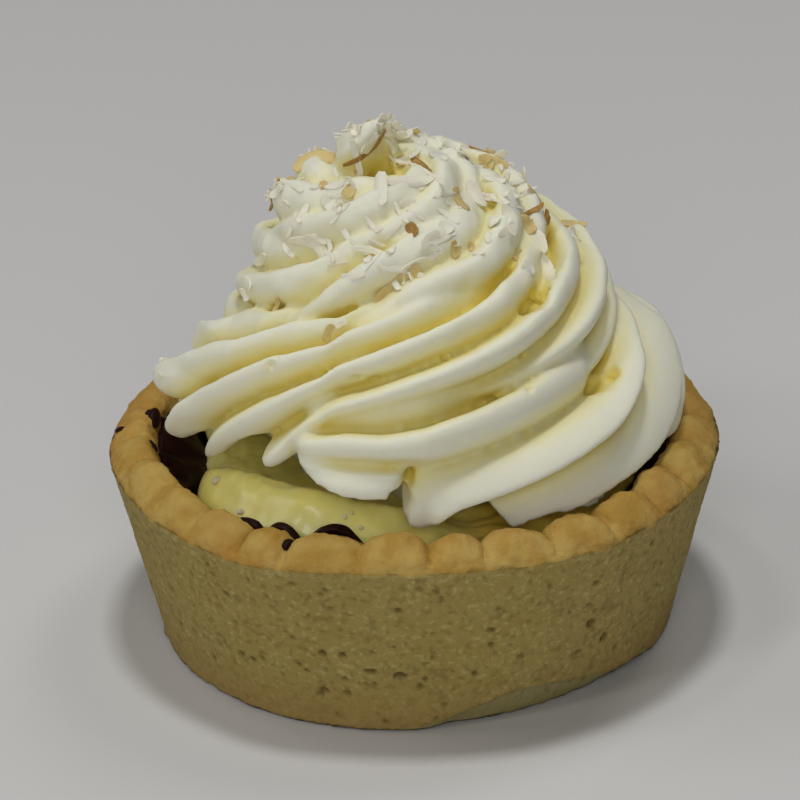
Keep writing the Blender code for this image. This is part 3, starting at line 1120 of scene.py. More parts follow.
@dataclass
class PastryCase:
    """The baked case: a leaning wall full of pores and a scalloped golden rim."""

    rim_radius: float = 40.0
    base_radius: float = 33.9
    # radius of the wall about half way up
    wall_radius: float = 37.0
    edge_height: float = 24.7
    floor_thickness: float = 5.0
    hollow_floor_radius: float = 28.5
    hollow_top_radius: float = 33.6
    crest_inset: float = 3.5
    crest_rise: float = 1.5
    scallop_rise: float = 2.4
    # slow waves of the wall's upper edge, the rim, the base and the scallops' strength:
    # size, number of lobes, azimuth of a crest
    edge_waves: Table = ((0.35, 5, 268), (0.1, 2, 100))
    rim_waves: Table = ((0.15, 1, 330),)
    base_waves: Table = ((0.35, 2, 225),)
    strength_waves: Table = ((0.12, 7, 33),)
    # where the rim and its crest stand out or lie back: size, azimuth, half angle
    rim_humps: Table = ((-0.5, 268, 24), (0.5, 240, 16))
    crest_humps: Table = ((0.4, 262, 24),)
    # valleys between the scallops at the front, the rest are spread evenly
    front_valleys: Row = (
        222.0, 234.5, 244.1, 259.0, 272.3, 282.8, 296.7, 309.3, 321.9, 332.9, 346.4, 359.7,
    )
    other_scallops: int = 17
    # how strongly the scallops stand out round the rim: azimuth, share
    scallop_strengths: Table = (
        (0, 0.75), (90, 0.75), (150, 0.6), (200, 0.4), (225, 0.55), (238, 0.95), (290, 0.95), (320, 0.8),
        (360, 0.75),
    )
    # upper edge of the strip where the skin has broken off: azimuth, height
    chip_edge: Table = (
        (266, 0.45), (270, 0.9), (274, 1.5), (280, 3.2), (284, 3.9), (287, 4.6), (290, 5.0), (293, 5.0),
        (297, 4.7), (301, 4.5), (309, 3.5), (319, 2.2), (327, 1.9), (339, 0.45),
    )
    chip_foot: float = 0.45
    chip_recess: float = 0.55
    chip_undercut: float = 1.5
    around: int = 800
    # steps between the control rings, from the base up over the rim and into the hollow
    steps: Row = (2, 6, 2, 12, 46, 3, 4, 5, 5, 6, 6, 5, 4)
    straight: Row = (0, 1, 2, 3, 4, 11, 12)
    scattered_pores: int = 900
    # a pore of this depth has its full shade
    shaded_depth: float = 0.35
    # tints that are laid over the plain crust
    pale_crumb: Colour = (0.58, 0.48, 0.20)
    dark_crumb: Colour = (0.20, 0.135, 0.038)
    warm_foot: Colour = (0.42, 0.27, 0.085)
    rim_gold: Colour = (0.57, 0.385, 0.105)
    rim_amber: Colour = (0.48, 0.28, 0.055)
    rim_brown: Colour = (0.42, 0.20, 0.037)
    bare_crumb: Colour = (0.36, 0.33, 0.15)
    # colour of the lower edge: partly the crust's own browned edge, partly painted contact shade at the floor
    browned_foot_and_contact_shade: Colour = (0.10, 0.045, 0.012)
    pale_line: Colour = (0.62, 0.50, 0.25)
    pore_shade: Colour = (0.12, 0.075, 0.02)
    # the largest pores: azimuth, height, half width, half height, depth
    large_pores: Table = (
        (265.8, 9.3, 1.0, 0.55, 0.75), (259.8, 10.0, 0.8, 0.4, 0.6), (249.7, 6.2, 0.8, 0.55, 0.6),
        (306.4, 12.7, 0.75, 0.7, 0.6), (311.0, 9.2, 0.7, 0.8, 0.6), (246.5, 9.0, 0.4, 0.3, 0.4),
        (250.5, 12.3, 0.6, 0.45, 0.5), (254.5, 12.3, 0.6, 0.4, 0.45), (245.0, 10.0, 0.45, 0.4, 0.4),
        (281.0, 9.0, 0.45, 0.45, 0.5), (284.0, 13.5, 0.5, 0.35, 0.4), (232.0, 14.5, 0.3, 0.3, 0.3),
        (241.0, 20.5, 0.35, 0.25, 0.35), (253.5, 20.0, 0.3, 0.2, 0.3), (260.5, 8.0, 0.35, 0.3, 0.35),
    )

    def bead(self, azimuth: Array) -> Array:
        """Height of the rim's scallops, 0 in the deepest valleys and 1 at the tops.

        Args:
            azimuth: Azimuths in degrees.

        Returns:
            The height at each azimuth.
        """
        first, last = self.front_valleys[0], self.front_valleys[-1]
        rest = np.linspace(last, first + 360, self.other_scallops + 1)[1:]
        valleys = np.concatenate([self.front_valleys, rest])
        turned = first + (np.asarray(azimuth, float) - first) % 360
        phase = np.interp(turned, valleys, np.arange(len(valleys)))
        across = 2.0 * (phase % 1.0) - 1.0
        strength = swayed(stations(self.scallop_strengths, 1, azimuth), azimuth, self.strength_waves)
        return 1 - strength * (1 - np.sqrt(np.maximum(0.0, 1.0 - across * across)))

    def edge(self, azimuth: Array) -> Array:
        """Height of the line where the wall meets the rim."""
        return swayed(self.edge_height, azimuth, self.edge_waves)

    def rim(self, azimuth: Array) -> Array:
        """Radius of that line."""
        return swayed(self.rim_radius, azimuth, self.rim_waves, self.rim_humps)

    def rise(self, azimuth: Array) -> Array:
        """Height of the rim's crest above that line."""
        crest = self.crest_rise + self.scallop_rise * self.bead(azimuth)
        return swayed(crest, azimuth, humps=self.crest_humps)

    def controls(self, azimuth: Array) -> Array:
        """Control rings of the case's section, radius and height, at each azimuth.

        Args:
            azimuth: Azimuths in degrees.

        Returns:
            Array (rings, around, 2), from the base over the rim and into the hollow.
        """
        bead = self.bead(azimuth)
        edge = self.edge(azimuth)
        rim = self.rim(azimuth)
        base = swayed(self.base_radius, azimuth, self.base_waves)
        rise = self.rise(azimuth)
        lower = self.chip_top(azimuth)
        chip = eased((lower - self.chip_foot) / 2.0)
        recess = self.chip_recess * chip
        undercut = self.chip_undercut * chip

        def wall(height: Array | float) -> Array:
            """Give the outer wall's radius at a height."""
            return base + (rim - base) * height / edge

        return stacked([
            (base - 0.45 - recess - undercut, 0.0),
            (wall(0.3) - 0.12 - recess - 0.7 * undercut, 0.28),
            (wall(lower) - recess - 0.05, lower - 0.10 - 0.25 * chip),
            (wall(lower), lower + 0.05),
            (wall(8.0), 8.0),
            (wall(edge - 0.7), edge - 0.7),
            (rim, edge),
            (rim - 0.75 + 0.65 * bead, edge + 0.80 + 0.35 * bead),
            (rim - 1.7 + 0.65 * bead, edge + 0.70 * self.crest_rise + 0.60 * (rise - self.crest_rise)),
            (rim - self.crest_inset + 0.4 * bead, edge + 0.98 * rise),
            (self.hollow_top_radius + 1.5 - 0.5 * bead, edge + 0.85 * rise),
            (self.hollow_top_radius, edge + 0.3),
            (self.hollow_top_radius - 1.0, edge - 4.0),
            (self.hollow_floor_radius, self.floor_thickness),
        ], azimuth)

    def chip_top(self, azimuth: Array) -> Array:
        """Height of the upper edge of the broken strip, or of the rounded foot beside it."""
        return np.interp(azimuth, *np.array(self.chip_edge).T)

    def pores(self) -> list[tuple[float, float, float, float, float]]:
        """All pores: azimuth, height, half width, half height and depth.

        Returns:
            The large pores, then the scattered ones.
        """
        draw = random.Random(SEED)
        found = list(self.large_pores)
        while len(found) < self.scattered_pores:
            azimuth = draw.uniform(0, 360)
            height = draw.uniform(1.5, self.edge_height - 1.2)
            size = 0.16 + 0.30 * draw.random() ** 2.5
            width, depth = size * draw.uniform(0.9, 1.5), size * draw.uniform(0.5, 0.9)
            found.append((azimuth, height, width, size, depth))
        return found

    def dent(self, points: Array, azimuth: Array, height: Array) -> Array:
        """Depth of the pores at each point of the outer wall, in millimetres.

        Args:
            points: The case's grid of points.
            azimuth: Azimuth of each column.
            height: Height of each point.

        Returns:
            The depth at each point.
        """
        depth = np.zeros(points.shape[:2])
        for where, level, half_width, half_height, deep in self.pores():
            away = (azimuth - where + 180) % 360 - 180
            columns = np.where(np.abs(np.radians(away)) * self.base_radius < 1.5 * half_width + 0.3)[0]
            across = np.radians(away[columns])[None, :] * self.wall_radius / half_width
            upward = (height[:, columns] - level) / half_height
            bowl = np.clip(1.15 - across ** 2 - upward ** 2, 0, 1) ** 0.7 * deep
            depth[:, columns] = np.maximum(depth[:, columns], bowl)
        return depth

    def build(self, effects: SurfaceEffects) -> Piece:
        """Model the case with its relief and dress it.

        Args:
            effects: The shared node groups.

        Returns:
            The piece.
        """
        azimuth = circle(self.around)
        profile = sampled(self.controls(azimuth), self.steps, self.straight)
        points = polar(profile[..., 0], azimuth[None, :], profile[..., 1])
        outward = grid_normals(points)
        outward *= np.sign((outward * polar(1.0, azimuth[None, :], 0.0)).sum(axis=-1).mean())

        height = profile[..., 1]
        ring = np.arange(len(profile))[:, None]
        wall_rings = sum(self.steps[:6])
        on_wall = eased((wall_rings + 1 - ring) / 3)
        above_base = eased(height / 0.5)
        off_line = (height - self.edge(azimuth)[None, :] + 0.1) / 0.3
        line = np.exp(-off_line ** 2) * eased((wall_rings + 6 - ring) / 4)

        coarse = fractal(points, 4.0, 3, 1)
        fine = fractal(points, 1.0, 3, 2)
        crumbly = np.maximum(fractal(points, 0.8, 2, 3), 0)
        depth = self.dent(points, azimuth, height) * on_wall
        relief = (0.10 + 0.30 * (1 - on_wall)) * coarse + (0.14 - 0.07 * on_wall) * fine
        relief += 0.30 * crumbly * line + 0.18 * crumbly * (1 - on_wall)
        relief -= 0.22 * np.maximum(fractal(points, 0.75, 2, 4) - 0.05, 0) * on_wall
        points = points + outward * ((relief - depth) * above_base)[..., None]
        ragged = (1 - eased(height / 1.6)) * on_wall
        points[..., :2] *= (1 + 0.010 * ragged * fractal(points * [1, 1, 0], 2.6, 3, 5))[..., None]

        case = moulded("pastry_case", points)
        chipped = on_wall * (height < self.chip_top(azimuth)[None, :] - 0.05)
        golden = eased((ring - wall_rings - 0.5) / 2.5)
        deep = np.clip(depth / self.shaded_depth, 0, 1)
        self.store(case, points, {"pore": deep, "line": line, "chip": chipped, "rim": golden})
        smooth_shading(case, 60)
        ride_as(case, CRUST_FINISH.material(effects, self.dress), ["crust"], "baked_crust")
        return case

    @staticmethod
    def store(case: Piece, points: Array, layers: dict[str, Array]) -> None:
        """Store values of the grid of points at the case's vertices, for the material.

        Args:
            case: The finished case.
            points: The grid of points it was moulded to.
            layers: Values on that grid, by the attribute's name.
        """
        place = coordinates(case)
        azimuth = np.degrees(np.arctan2(place[:, 1], place[:, 0])) % 360
        around = points.shape[1]
        spot = np.rint(azimuth / 360 * around).astype(int) % around
        columns = points[:, spot, :]
        ring = np.argmin(((columns - place[None]) ** 2).sum(axis=-1), axis=0)
        for name, values in layers.items():
            mark(case, name, np.broadcast_to(values, points.shape[:2])[ring, spot])

    def dress(self, nodes: Nodes, place: Socket, colour: Socket) -> Socket:
        """Add the golden rim, the pale line, the brown lower edge (partly its own brown, partly painted
        contact shade) and the pores' painted shade.

        Args:
            nodes: The material's nodes.
            place: The point of the surface, in metres.
            colour: The plain crust.

        Returns:
            The colour.
        """
        height = nodes.axis(place, "Z")
        on_rim = nodes.attribute("rim")
        colour = nodes.tinted(colour, nodes.speckle(place, 1250, 3, 0.52, 0.68), 0.45, self.pale_crumb)
        colour = nodes.tinted(colour, nodes.speckle(place, 900, 4, 0.50, 0.34), 0.48, self.dark_crumb)
        colour = nodes.blend(nodes.span(height, 0.010, 0.0, 0.0, 0.6), colour, self.warm_foot)
        uneven = nodes.speckle(place, 240, 5, 0.35, 0.65)
        golden = nodes.blend(uneven, self.rim_gold, self.rim_amber)
        colour = nodes.blend(on_rim, colour, golden)
        browned = nodes.times(nodes.speckle(place, 100, 4, 0.50, 0.68), on_rim)
        colour = nodes.tinted(colour, browned, 0.5, self.rim_brown)
        colour = nodes.tinted(colour, nodes.attribute("chip"), 0.7, self.bare_crumb)
        # partly own brown, partly painted contact shade along the very bottom of the wall
        ragged = nodes.maths("ADD", height, nodes.times(nodes.noise(place, 300, 3), 0.0012))
        colour = nodes.blend(nodes.span(ragged, 0.0013, 0.0008), colour, self.browned_foot_and_contact_shade)
        line = nodes.times(nodes.attribute("line"), nodes.speckle(place, 700, 2, 0.35, 0.6))
        colour = nodes.tinted(colour, line, 0.55, self.pale_line)
        return nodes.tinted(colour, nodes.attribute("pore"), 0.8, self.pore_shade)


# chocolate and custard


@dataclass
class Filling:
    """The dark chocolate lining and the lumpy custard inside the case."""

    case: PastryCase
    gap: float = 0.3
    lining_thickness: float = 1.0
    lining_top: float = 24.5
    lining_waves: Table = ((0.25, 13, 4), (0.2, 29, 40))
    level: float = 24.5
    around: int = 480
    # where chocolate has pooled: azimuth, half angle, how far it reaches inward
    pools: Table = ((180, 27, 4.8), (243, 9, 0.9), (257, 7, 0.7), (303, 12, 2.6), (343, 14, 2.0))
    # where chocolate climbs the back of the scallops: azimuth, half angle, share of their height
    climbs: Table = ((244, 27, 1.0), (178, 28, 0.55))
    climb_below: float = 0.8
    pool_margin: float = 6.0
    # lumps beside the cream: azimuth, radius, half width, height
    lumps: Table = (
        (205, 28.0, 5.0, 2.1), (217, 27.0, 5.5, 2.5), (230, 26.0, 6.5, 3.0), (244, 26.0, 6.5, 2.7),
        (258, 25.5, 6.0, 2.0), (268, 25.0, 5.0, 1.6), (238, 29.5, 3.5, 0.5), (224, 29.8, 3.0, 0.6),
    )

    # painted shade where the custard turns golden under the cream on the right: from and to this place along
    # X, in metres, and how far
    golden: Colour = (0.95, 0.64, 0.09)
    golden_shade_from_to: tuple[float, float] = (0.002, 0.011)
    golden_shade_share: float = 0.9

    def pool(self, azimuth: Array) -> Array:
        """How far the chocolate reaches inward at an azimuth."""
        return np.max([reach * hump(azimuth, centre, half) for centre, half, reach in self.pools], axis=0)

    def lump(self, azimuth: Array, radius: Array) -> Array:
        """Extra height of the custard's soft lumps.

        Args:
            azimuth: Azimuths in degrees.
            radius: Distance from the axis.

        Returns:
            The extra height.
        """
        height = np.zeros(np.broadcast(azimuth, radius).shape)
        for centre, distance, half_width, rise in self.lumps:
            turn = np.radians(azimuth - centre)
            away = np.hypot(radius * np.cos(turn) - distance, 0.6 * radius * np.sin(turn))
            height += rise * np.maximum(0.0, 1.0 - (away / half_width) ** 2) ** 2
        return height

    def lining(self, effects: SurfaceEffects) -> Piece:
        """Model the chocolate lining, wavy at its top, and dress it.

        Args:
            effects: The shared node groups.

        Returns:
            The piece.
        """
        azimuth = circle(self.around)
        reach = self.pool(azimuth)
        shares = [share * np.minimum(1.6 * hump(azimuth, at, half), 1) for at, half, share in self.climbs]
        crest = self.case.edge(azimuth) + self.case.rise(azimuth) - self.climb_below
        climb = np.max(shares, axis=0) * (crest - self.lining_top)
        top = swayed(self.lining_top + climb, azimuth, self.lining_waves)
        outside = self.case.hollow_top_radius - 0.1
        inside = outside - self.lining_thickness
        foot, floor = self.case.hollow_floor_radius - self.gap, self.case.floor_thickness + self.gap
        rings = stacked([
            (foot, floor),
            (outside - 1.0, 20.0),
            (outside + 0.1, top - 1.2),
            (outside + 0.25 * climb / 3, top - 0.2),
            (outside - 0.4, top),
            (inside, top - 0.3),
            (inside - 0.2 - reach, 24.0 - 0.2 * reach),
            (inside - 1.0 - reach, 20.5),
            (foot - self.lining_thickness, floor + self.lining_thickness),
        ], azimuth)
        profile = sampled(rings, (2, 3, 3, 3, 3, 5, 4, 3), (0, 1, 7))
        points = polar(profile[..., 0], azimuth[None, :], profile[..., 1])
        visible = eased((profile[..., 1] - 21.5) / 2)
        points[..., 2] += 0.22 * visible * fractal(points, 3.0, 2, 6)
        points[..., :2] *= (1 - 0.008 * visible * np.maximum(fractal(points, 2.4, 2, 7), 0))[..., None]
        lining = moulded("chocolate_shell", points)
        smooth_shading(lining)
        ride_as(lining, CHOCOLATE_FINISH.material(effects), ["chocolate_lining"], "dark_chocolate")
        return lining

    def custard(self, effects: SurfaceEffects) -> Piece:
        """Model the custard with its lumps and smeared folds, and dress it.

        Args:
            effects: The shared node groups.

        Returns:
            The piece.
        """
        azimuth = circle(self.around)
        margins = (-self.pool_margin, 0.0, self.pool_margin)
        reach = np.max([self.pool(azimuth + turn) for turn in margins], axis=0)
        side = self.case.hollow_top_radius - self.lining_thickness - 2 * self.gap
        floor = self.case.floor_thickness + self.lining_thickness + 2 * self.gap
        outer = side + 0.15 - reach
        rings = stacked([
            (self.case.hollow_floor_radius - self.lining_thickness - 2 * self.gap, floor),
            (side - 1.0 - reach, 20.5),
            (outer, 23.5 - 0.2 * reach),
            (outer - 0.7, 24.3 - 0.1 * reach),
            *((outer * share, self.level) for share in (0.93, 0.86, 0.78, 0.66, 0.5)),
        ], azimuth)
        profile = sampled(rings, (3, 3, 4, 6, 7, 8, 9, 8), (0,))
        radius = profile[..., 0]
        spread = np.broadcast_to(azimuth[None, :], radius.shape)
        top = eased((profile[..., 1] - 23.0) / 1.2)
        points = polar(radius, spread, profile[..., 1])
        folds = polar(radius * 1.6, spread * 0.42, profile[..., 1])
        lift = self.lump(spread, radius) + 0.55 * fractal(folds, 5.0, 2, 8)
        lift = lift + 0.16 * fractal(points, 1.6, 2, 9)
        points[..., 2] += top * lift
        custard = moulded("custard_filling", points)
        smooth_shading(custard)
        ride_as(custard, CUSTARD_FINISH.material(effects, self.dress), ["custard"], "custard")
        return custard

    def dress(self, nodes: Nodes, place: Socket, colour: Socket) -> Socket:
        """Paint shade as a deeper gold on the right of the custard, under the cream."""
        # painted shade: deeper gold towards +X, where the cream's ridges shade the custard
        share = nodes.span(nodes.axis(place, "X"), *self.golden_shade_from_to, 0.0, self.golden_shade_share)
        return nodes.blend(share, colour, self.golden)


# piped cream


@dataclass
class PipedCream:
    """One rope of cream from a star nozzle, laid in a rising spiral."""

    base: float = 24.3
    # stations along the spiral: azimuth, centre radius, centre height, rope radius
    rope: Table = (
        (236, 26.6, 36.1, 7.8), (240, 26.0, 36.0, 8.5), (254, 24.0, 35.5, 11.5), (272, 21.5, 34.5, 13.0),
        (315, 21.0, 33.0, 14.0), (360, 21.2, 32.6, 14.3), (450, 20.5, 34.0, 13.4), (500, 20.8, 34.2, 12.6),
        (540, 21.3, 34.9, 12.5), (562, 20.6, 37.4, 13.0), (585, 20.0, 39.0, 13.0), (630, 18.0, 43.0, 12.8),
        (675, 16.5, 45.0, 12.3), (720, 15.0, 46.0, 11.2), (810, 13.4, 46.5, 10.6), (900, 12.9, 47.8, 10.2),
        (945, 12.6, 49.5, 10.2), (990, 11.8, 52.2, 9.8), (1080, 10.0, 54.8, 8.8), (1170, 9.0, 56.0, 8.4),
        (1260, 8.6, 56.3, 8.2), (1350, 7.0, 58.5, 7.6), (1440, 5.0, 60.0, 6.4), (1530, 3.6, 62.5, 5.2),
        (1620, 2.6, 65.6, 4.4), (1665, 1.6, 68.0, 3.5), (1700, 0.9, 70.4, 1.0),
    )
    # up to this azimuth the rope's radius follows its stations exactly, so that the start stays short
    firm_start: float = 810.0
    # turn of the ridges about the rope: azimuth, number of the ridge that points outward
    ridge_turn: Table = (
        (240, -0.60), (253, -0.44), (262, -0.46), (271, -0.39), (279, -0.12), (289, 0.12), (299, 0.35),
        (311, 0.61), (321, 0.81), (337, 1.09), (352, 1.45), (400, 3.01), (470, 5.15), (530, 6.85),
        (545, 7.08), (552, 7.14), (558, 7.32), (565, 7.68), (580, 8.51), (595, 9.23), (610, 10.22),
        (630, 10.54), (655, 10.85), (685, 11.33), (715, 11.68), (800, 13.19), (880, 14.56), (930, 15.32),
        (947, 15.72), (963, 16.38), (970, 16.62), (985, 17.04), (1000, 17.24), (1022, 17.40),
        (1038, 17.67), (1100, 18.84), (1240, 22.09), (1330, 23.90), (1400, 25.00), (1700, 28.50),
    )
    # share of the section a ridge takes, in degrees: azimuth, then at each of these angles
    spread_angles: Row = (-90, -30, 15, 90)
    ridge_spread: Table = (
        (240, 41, 41, 37, 31), (262, 41, 41, 36, 31), (270, 76, 68, 36, 31), (279, 42, 38, 35, 32),
        (290, 38, 31, 35, 32), (320, 40, 36, 33, 28), (345, 43, 47, 50, 38), (440, 39, 36, 32, 33),
        (545, 43, 36, 39, 36), (560, 43, 38, 49, 41), (575, 46, 45, 34, 26),
        (590, 45, 42, 34, 24), (605, 43, 37, 24, 20), (650, 42, 32, 29, 27), (700, 42, 34, 33, 35),
        (800, 45, 41, 40, 40), (940, 48, 49, 50, 50), (1400, 55, 55, 55, 55), (1700, 60, 60, 60, 60),
    )
    # depth of the grooves as a share of the rope's radius: azimuth, share
    groove_depths: Table = (
        (240, 0.40), (640, 0.40), (720, 0.36), (985, 0.36), (1060, 0.28), (1300, 0.25), (1700, 0.16),
    )
    # a ridge's upper groove lies this far above its number, and its crest this far down to the next
    upper_groove: float = 0.42
    crest_place: float = 0.30
    roundness: float = 0.8
    broad_end: float = 380.0
    # the two broad flat ridges of the first turn: number, place of the crest
    broad_crests: Table = ((0, 0.78), (1, 0.85))
    flatness: float = 0.6
    # this ridge is sunk behind the rope's start: its number, then azimuth and share of its height
    sunk_ridge: int = 11
    sunk_heights: Table = ((560, 1.0), (600, 0.72), (645, 0.74), (685, 1.0))
    # swellings and dents: azimuth, half length, angle round the section, half width, factor
    swellings: Table = (
        (520, 70, 68, 45, 0.84), (555, 16, 2, 22, 1.16), (670, 5.5, 50, 8, 0.62), (325, 4.5, 45, 7, 0.62),
        (985, 30, -10, 24, 1.12), (905, 60, -30, 30, 0.93), (256, 22, -22, 26, 1.10),
        (508, 40, 24, 50, 0.72), (520, 24, 24, 46, 0.82), (390, 30, 42, 20, 0.86),
        (1250, 60, 35, 50, 1.12), (267.3, 1.6, 2, 9, 0.30), (265.6, 2.4, -14, 13, 0.10),
        (261.2, 4.0, -18, 9, 0.30), (254, 14, -3, 10, 1.12), (262, 17, 15, 7, 0.88),
        (556, 16, -24, 20, 1.08), (595, 8, -20, 14, 1.09), (1030, 34, -22, 26, 1.16), (548, 20, 42, 14, 0.90),
    )
    # lower edge of the overhanging ridges: azimuth, angle round the section
    tip_angles: Table = (
        (284, -44), (290, -42), (295, -35), (302, -31), (309, -37), (313, -39), (320, -32), (326, -28),
        (345, -22), (500, -60), (545, -20), (552, -27), (558, -34), (563, -28), (568, -42), (575, -34),
        (581, -22), (587, -14), (590, -20), (594, -31), (598, -26), (603, -20), (612, -30), (640, -60),
    )
    # how far the cream below that edge is drawn in: azimuth, share of the undercut
    tip_strength: Table = (
        (284, 0), (289, 1), (300, 1.3), (335, 1.3), (342, 1), (358, 0), (500, 0), (540, 1), (584, 1),
        (592, 0.45), (606, 0.45), (620, 1), (650, 0),
    )
    tip_undercut: float = 0.48
    # where the rope begins, at angles round its section
    start_angles: Row = (-180, -56, -48, -34, -16, -11, -6, 0, 12)
    start_azimuths: Row = (288, 286, 268.5, 265.5, 264, 258, 243, 240, 239)
    # where its lowest ridge begins
    lower_angles: Row = (-45, -34, -22, -8)
    lower_azimuths: Row = (291, 288.5, 284, 276)
    # over how many degrees the start rounds off, at angles round the section
    taper_angles: Row = (-12, -4)
    tapers: Row = (2.5, 6.5)
    # the first stub of the rope is smooth below this angle
    thumb_end: float = 267.0
    thumb_angle: float = 14.0
    thumb_groove: float = 0.25
    # the blunt end of the broad ridge stands out past the rounded start
    blunt_angles: Row = (-60, -38, -26, -10, -2)
    blunt_azimuths: Row = (275, 273, 271, 269, 268)
    blunt_length: float = 3.5
    blunt_step: float = 0.08
    flattening: float = 0.95
    # the rim holds the cream in: largest radius at the custard, and how fast it grows upward
    held_radius: float = 32.8
    held_slope: float = 0.55
    # the ridged core under the rope's end
    core_foot: float = 17.0
    core_peak: float = 6.0
    core_top: float = 60.0
    core_ridges: int = 18
    core_twist: float = 2.2
    core_groove: float = 0.16
    core_rows: int = 24
    core_around: int = 180
    grain: float = 0.40
    quick_grain: float = 0.8
    most_triangles: int = 190000
    thinned_triangles: int = 188000
    hollow_reach: float = 9.0
    step: float = 1.5
    section_steps: int = 240
    # painted shade tints over the plain cream: on flanks this far enclosed, and in the pockets
    flank_shade: Colour = (0.88, 0.825, 0.47)
    flank_shade_from_to: tuple[float, float] = (0.03, 0.34)
    pocket_shade: Colour = (0.84, 0.62, 0.09)
    # dents seen in the photograph: pixel, radius and depth in millimetres
    pits: Spots = (
        ((270, 365), 0.75, 0.7), ((266, 371), 0.5, 0.5), ((276, 357), 0.45, 0.4), ((355, 378), 0.6, 0.6),
        ((375, 378), 0.6, 0.6), ((318, 368), 0.4, 0.35), ((530, 388), 0.6, 0.6),
    )
    # pockets between the folds, in the same way: dents with deep yellow painted shade
    pockets: Spots = (
        ((540, 297), 1.4, 1.0), ((531, 301), 0.9, 0.6), ((546, 291), 0.8, 0.6), ((612, 372), 1.2, 0.8),
        ((609, 378), 0.7, 0.4), ((490, 203), 1.0, 0.8),
    )

    @staticmethod
    def value(table: Sequence[Sequence[float]], azimuth: float) -> float:
        """Read a table of azimuth and value at one azimuth."""
        return float(np.interp(azimuth, [row[0] for row in table], [row[1] for row in table]))

    def ridges_above(self, azimuth: float, angles: Array) -> Array:
        """Count the ridges between the rope's outward side and each angle of its section.

        Args:
            azimuth: Place along the spiral.
            angles: Angles round the section.

        Returns:
            Number of ridges, with its fraction, at each angle.
        """
        fine = np.arange(-180.0, 181.0)
        spread = [float(stations(self.ridge_spread, column, azimuth)) for column in range(1, 5)]
        rate = 1 / np.interp(fine, self.spread_angles, spread)
        count = np.concatenate([[0], np.cumsum((rate[1:] + rate[:-1]) / 2)])
        return np.interp(angles, fine, count - np.interp(0, fine, count))

    def profile(self, azimuth: float, angles: Array) -> tuple[Array, Array]:
        """Give the ridge's number and its height, 0 to 1, at each angle of the section.

        Args:
            azimuth: Place along the spiral.
            angles: Angles round the section.

        Returns:
            The numbers and the heights.
        """
        turned = self.value(self.ridge_turn, azimuth) - self.ridges_above(azimuth, angles)
        turned = turned - self.upper_groove
        number = np.floor(turned) + 1
        place = turned - np.floor(turned)
        crest = np.full(len(angles), self.crest_place)
        flat = np.zeros(len(angles))
        if azimuth < self.broad_end:
            for which, middle in self.broad_crests:
                crest[number == which] = middle
                flat[(number == which) & (place < middle)] = self.flatness
        away = np.where(place < crest, 1 - place / crest, (place - crest) / (1 - crest))
        rounded_ridge = np.maximum(np.cos(np.pi / 2 * away), 0) ** self.roundness
        return number, flat * (1 - away) + (1 - flat) * rounded_ridge

    def reach(self, azimuth: float, thickness: float, angles: Array) -> Array:
        """Distance of the surface from the rope's centre line round one section.

        Args:
            azimuth: Place along the spiral, in degrees from the start.
            thickness: The rope's radius there.
            angles: Angles round the section, 0 outward and 90 up.

        Returns:
            Distances in millimetres.
        """
        number, height = self.profile(azimuth, angles)
        depth = self.value(self.groove_depths, azimuth)
        if azimuth < self.thumb_end:
            depth = depth * self.thumb_groove ** eased((self.thumb_angle - angles) / 8)
        reach = thickness * (1 - depth * (1 - height))
        if azimuth > self.broad_end:
            sunk = np.where(number == self.sunk_ridge, np.clip(1.6 * height, 0, 1), 0)
            reach = reach * (1 - (1 - self.value(self.sunk_heights, azimuth)) * sunk)
        start = np.interp(angles, self.start_angles, self.start_azimuths)
        if azimuth < self.broad_end:
            start = np.where(number > 0, np.interp(angles, self.lower_angles, self.lower_azimuths), start)
        taper = np.interp(angles, self.taper_angles, self.tapers)
        ramp = np.clip((azimuth - start) / taper, 0, 1)
        reach = reach * np.sqrt(1 - (1 - ramp) ** 2)
        blunt_at = np.interp(angles, self.blunt_angles, self.blunt_azimuths)
        blunt = np.clip((azimuth - blunt_at) / self.blunt_length, 0, 1)
        reach = reach * (1 - self.blunt_step * np.clip((6 - angles) / 10, 0, 1) * (1 - blunt))
        held_up = eased((angles - self.value(self.tip_angles, azimuth) + 5) / 10)
        reach = reach * (1 - self.value(self.tip_strength, azimuth) * self.tip_undercut * (1 - held_up))
        for centre, half_length, angle, half_width, factor in self.swellings:
            away = ((azimuth - centre) / half_length) ** 2 + ((angles - angle) / half_width) ** 2
            reach = reach * (1 + (factor - 1) * np.clip(1 - away, 0, 1) ** 1.5)
        return reach + MM

    def points(self) -> Array:
        """Give the rope's surface as a grid of points.

        Returns:
            Array (stations, round the section, 3) in millimetres.
        """
        azimuths = np.arange(self.rope[0][0], self.rope[-1][0] + 0.01, self.step)
        corner = int(58 / self.step) | 1
        radius = rounded(stations(self.rope, 1, azimuths), corner)
        height = rounded(stations(self.rope, 2, azimuths), corner)
        thickness = stations(self.rope, 3, azimuths)
        thickness = np.where(azimuths < self.firm_start, thickness, rounded(thickness, corner // 2 | 1))
        lean = np.interp(height, LEAN_HEIGHTS, LEAN_SHIFTS)
        angles = (circle(self.section_steps) + 180) % 360 - 180
        rings = []
        for index, azimuth in enumerate(azimuths):
            reach = self.reach(azimuth, thickness[index], angles)
            level = height[index] + reach * np.sin(np.radians(angles)) * self.flattening
            held = self.held_radius + self.held_slope * np.maximum(level - self.base - 0.6, 0)
            outward = np.minimum(radius[index] + reach * np.cos(np.radians(angles)), held)
            ring = polar(outward, azimuth, level)
            ring[:, 0] += lean[index]
            rings.append(ring)
        return np.array(rings)

    def build(self, effects: SurfaceEffects, camera: PhotoCamera) -> Piece:
        """Model the spiral as one body on the custard, and dress it.

        Args:
            effects: The shared node groups.
            camera: Places the small pits that the photograph shows.

        Returns:
            The piece.
        """
        points = self.points()
        rows = len(points) - 1
        while max(factors(rows)) > MOST_PIECES:
            rows -= 1
        rope = moulded("whipped_cream_rope", points[len(points) - 1 - rows:])
        cream = joined([rope, self.core()], "piped_cream")

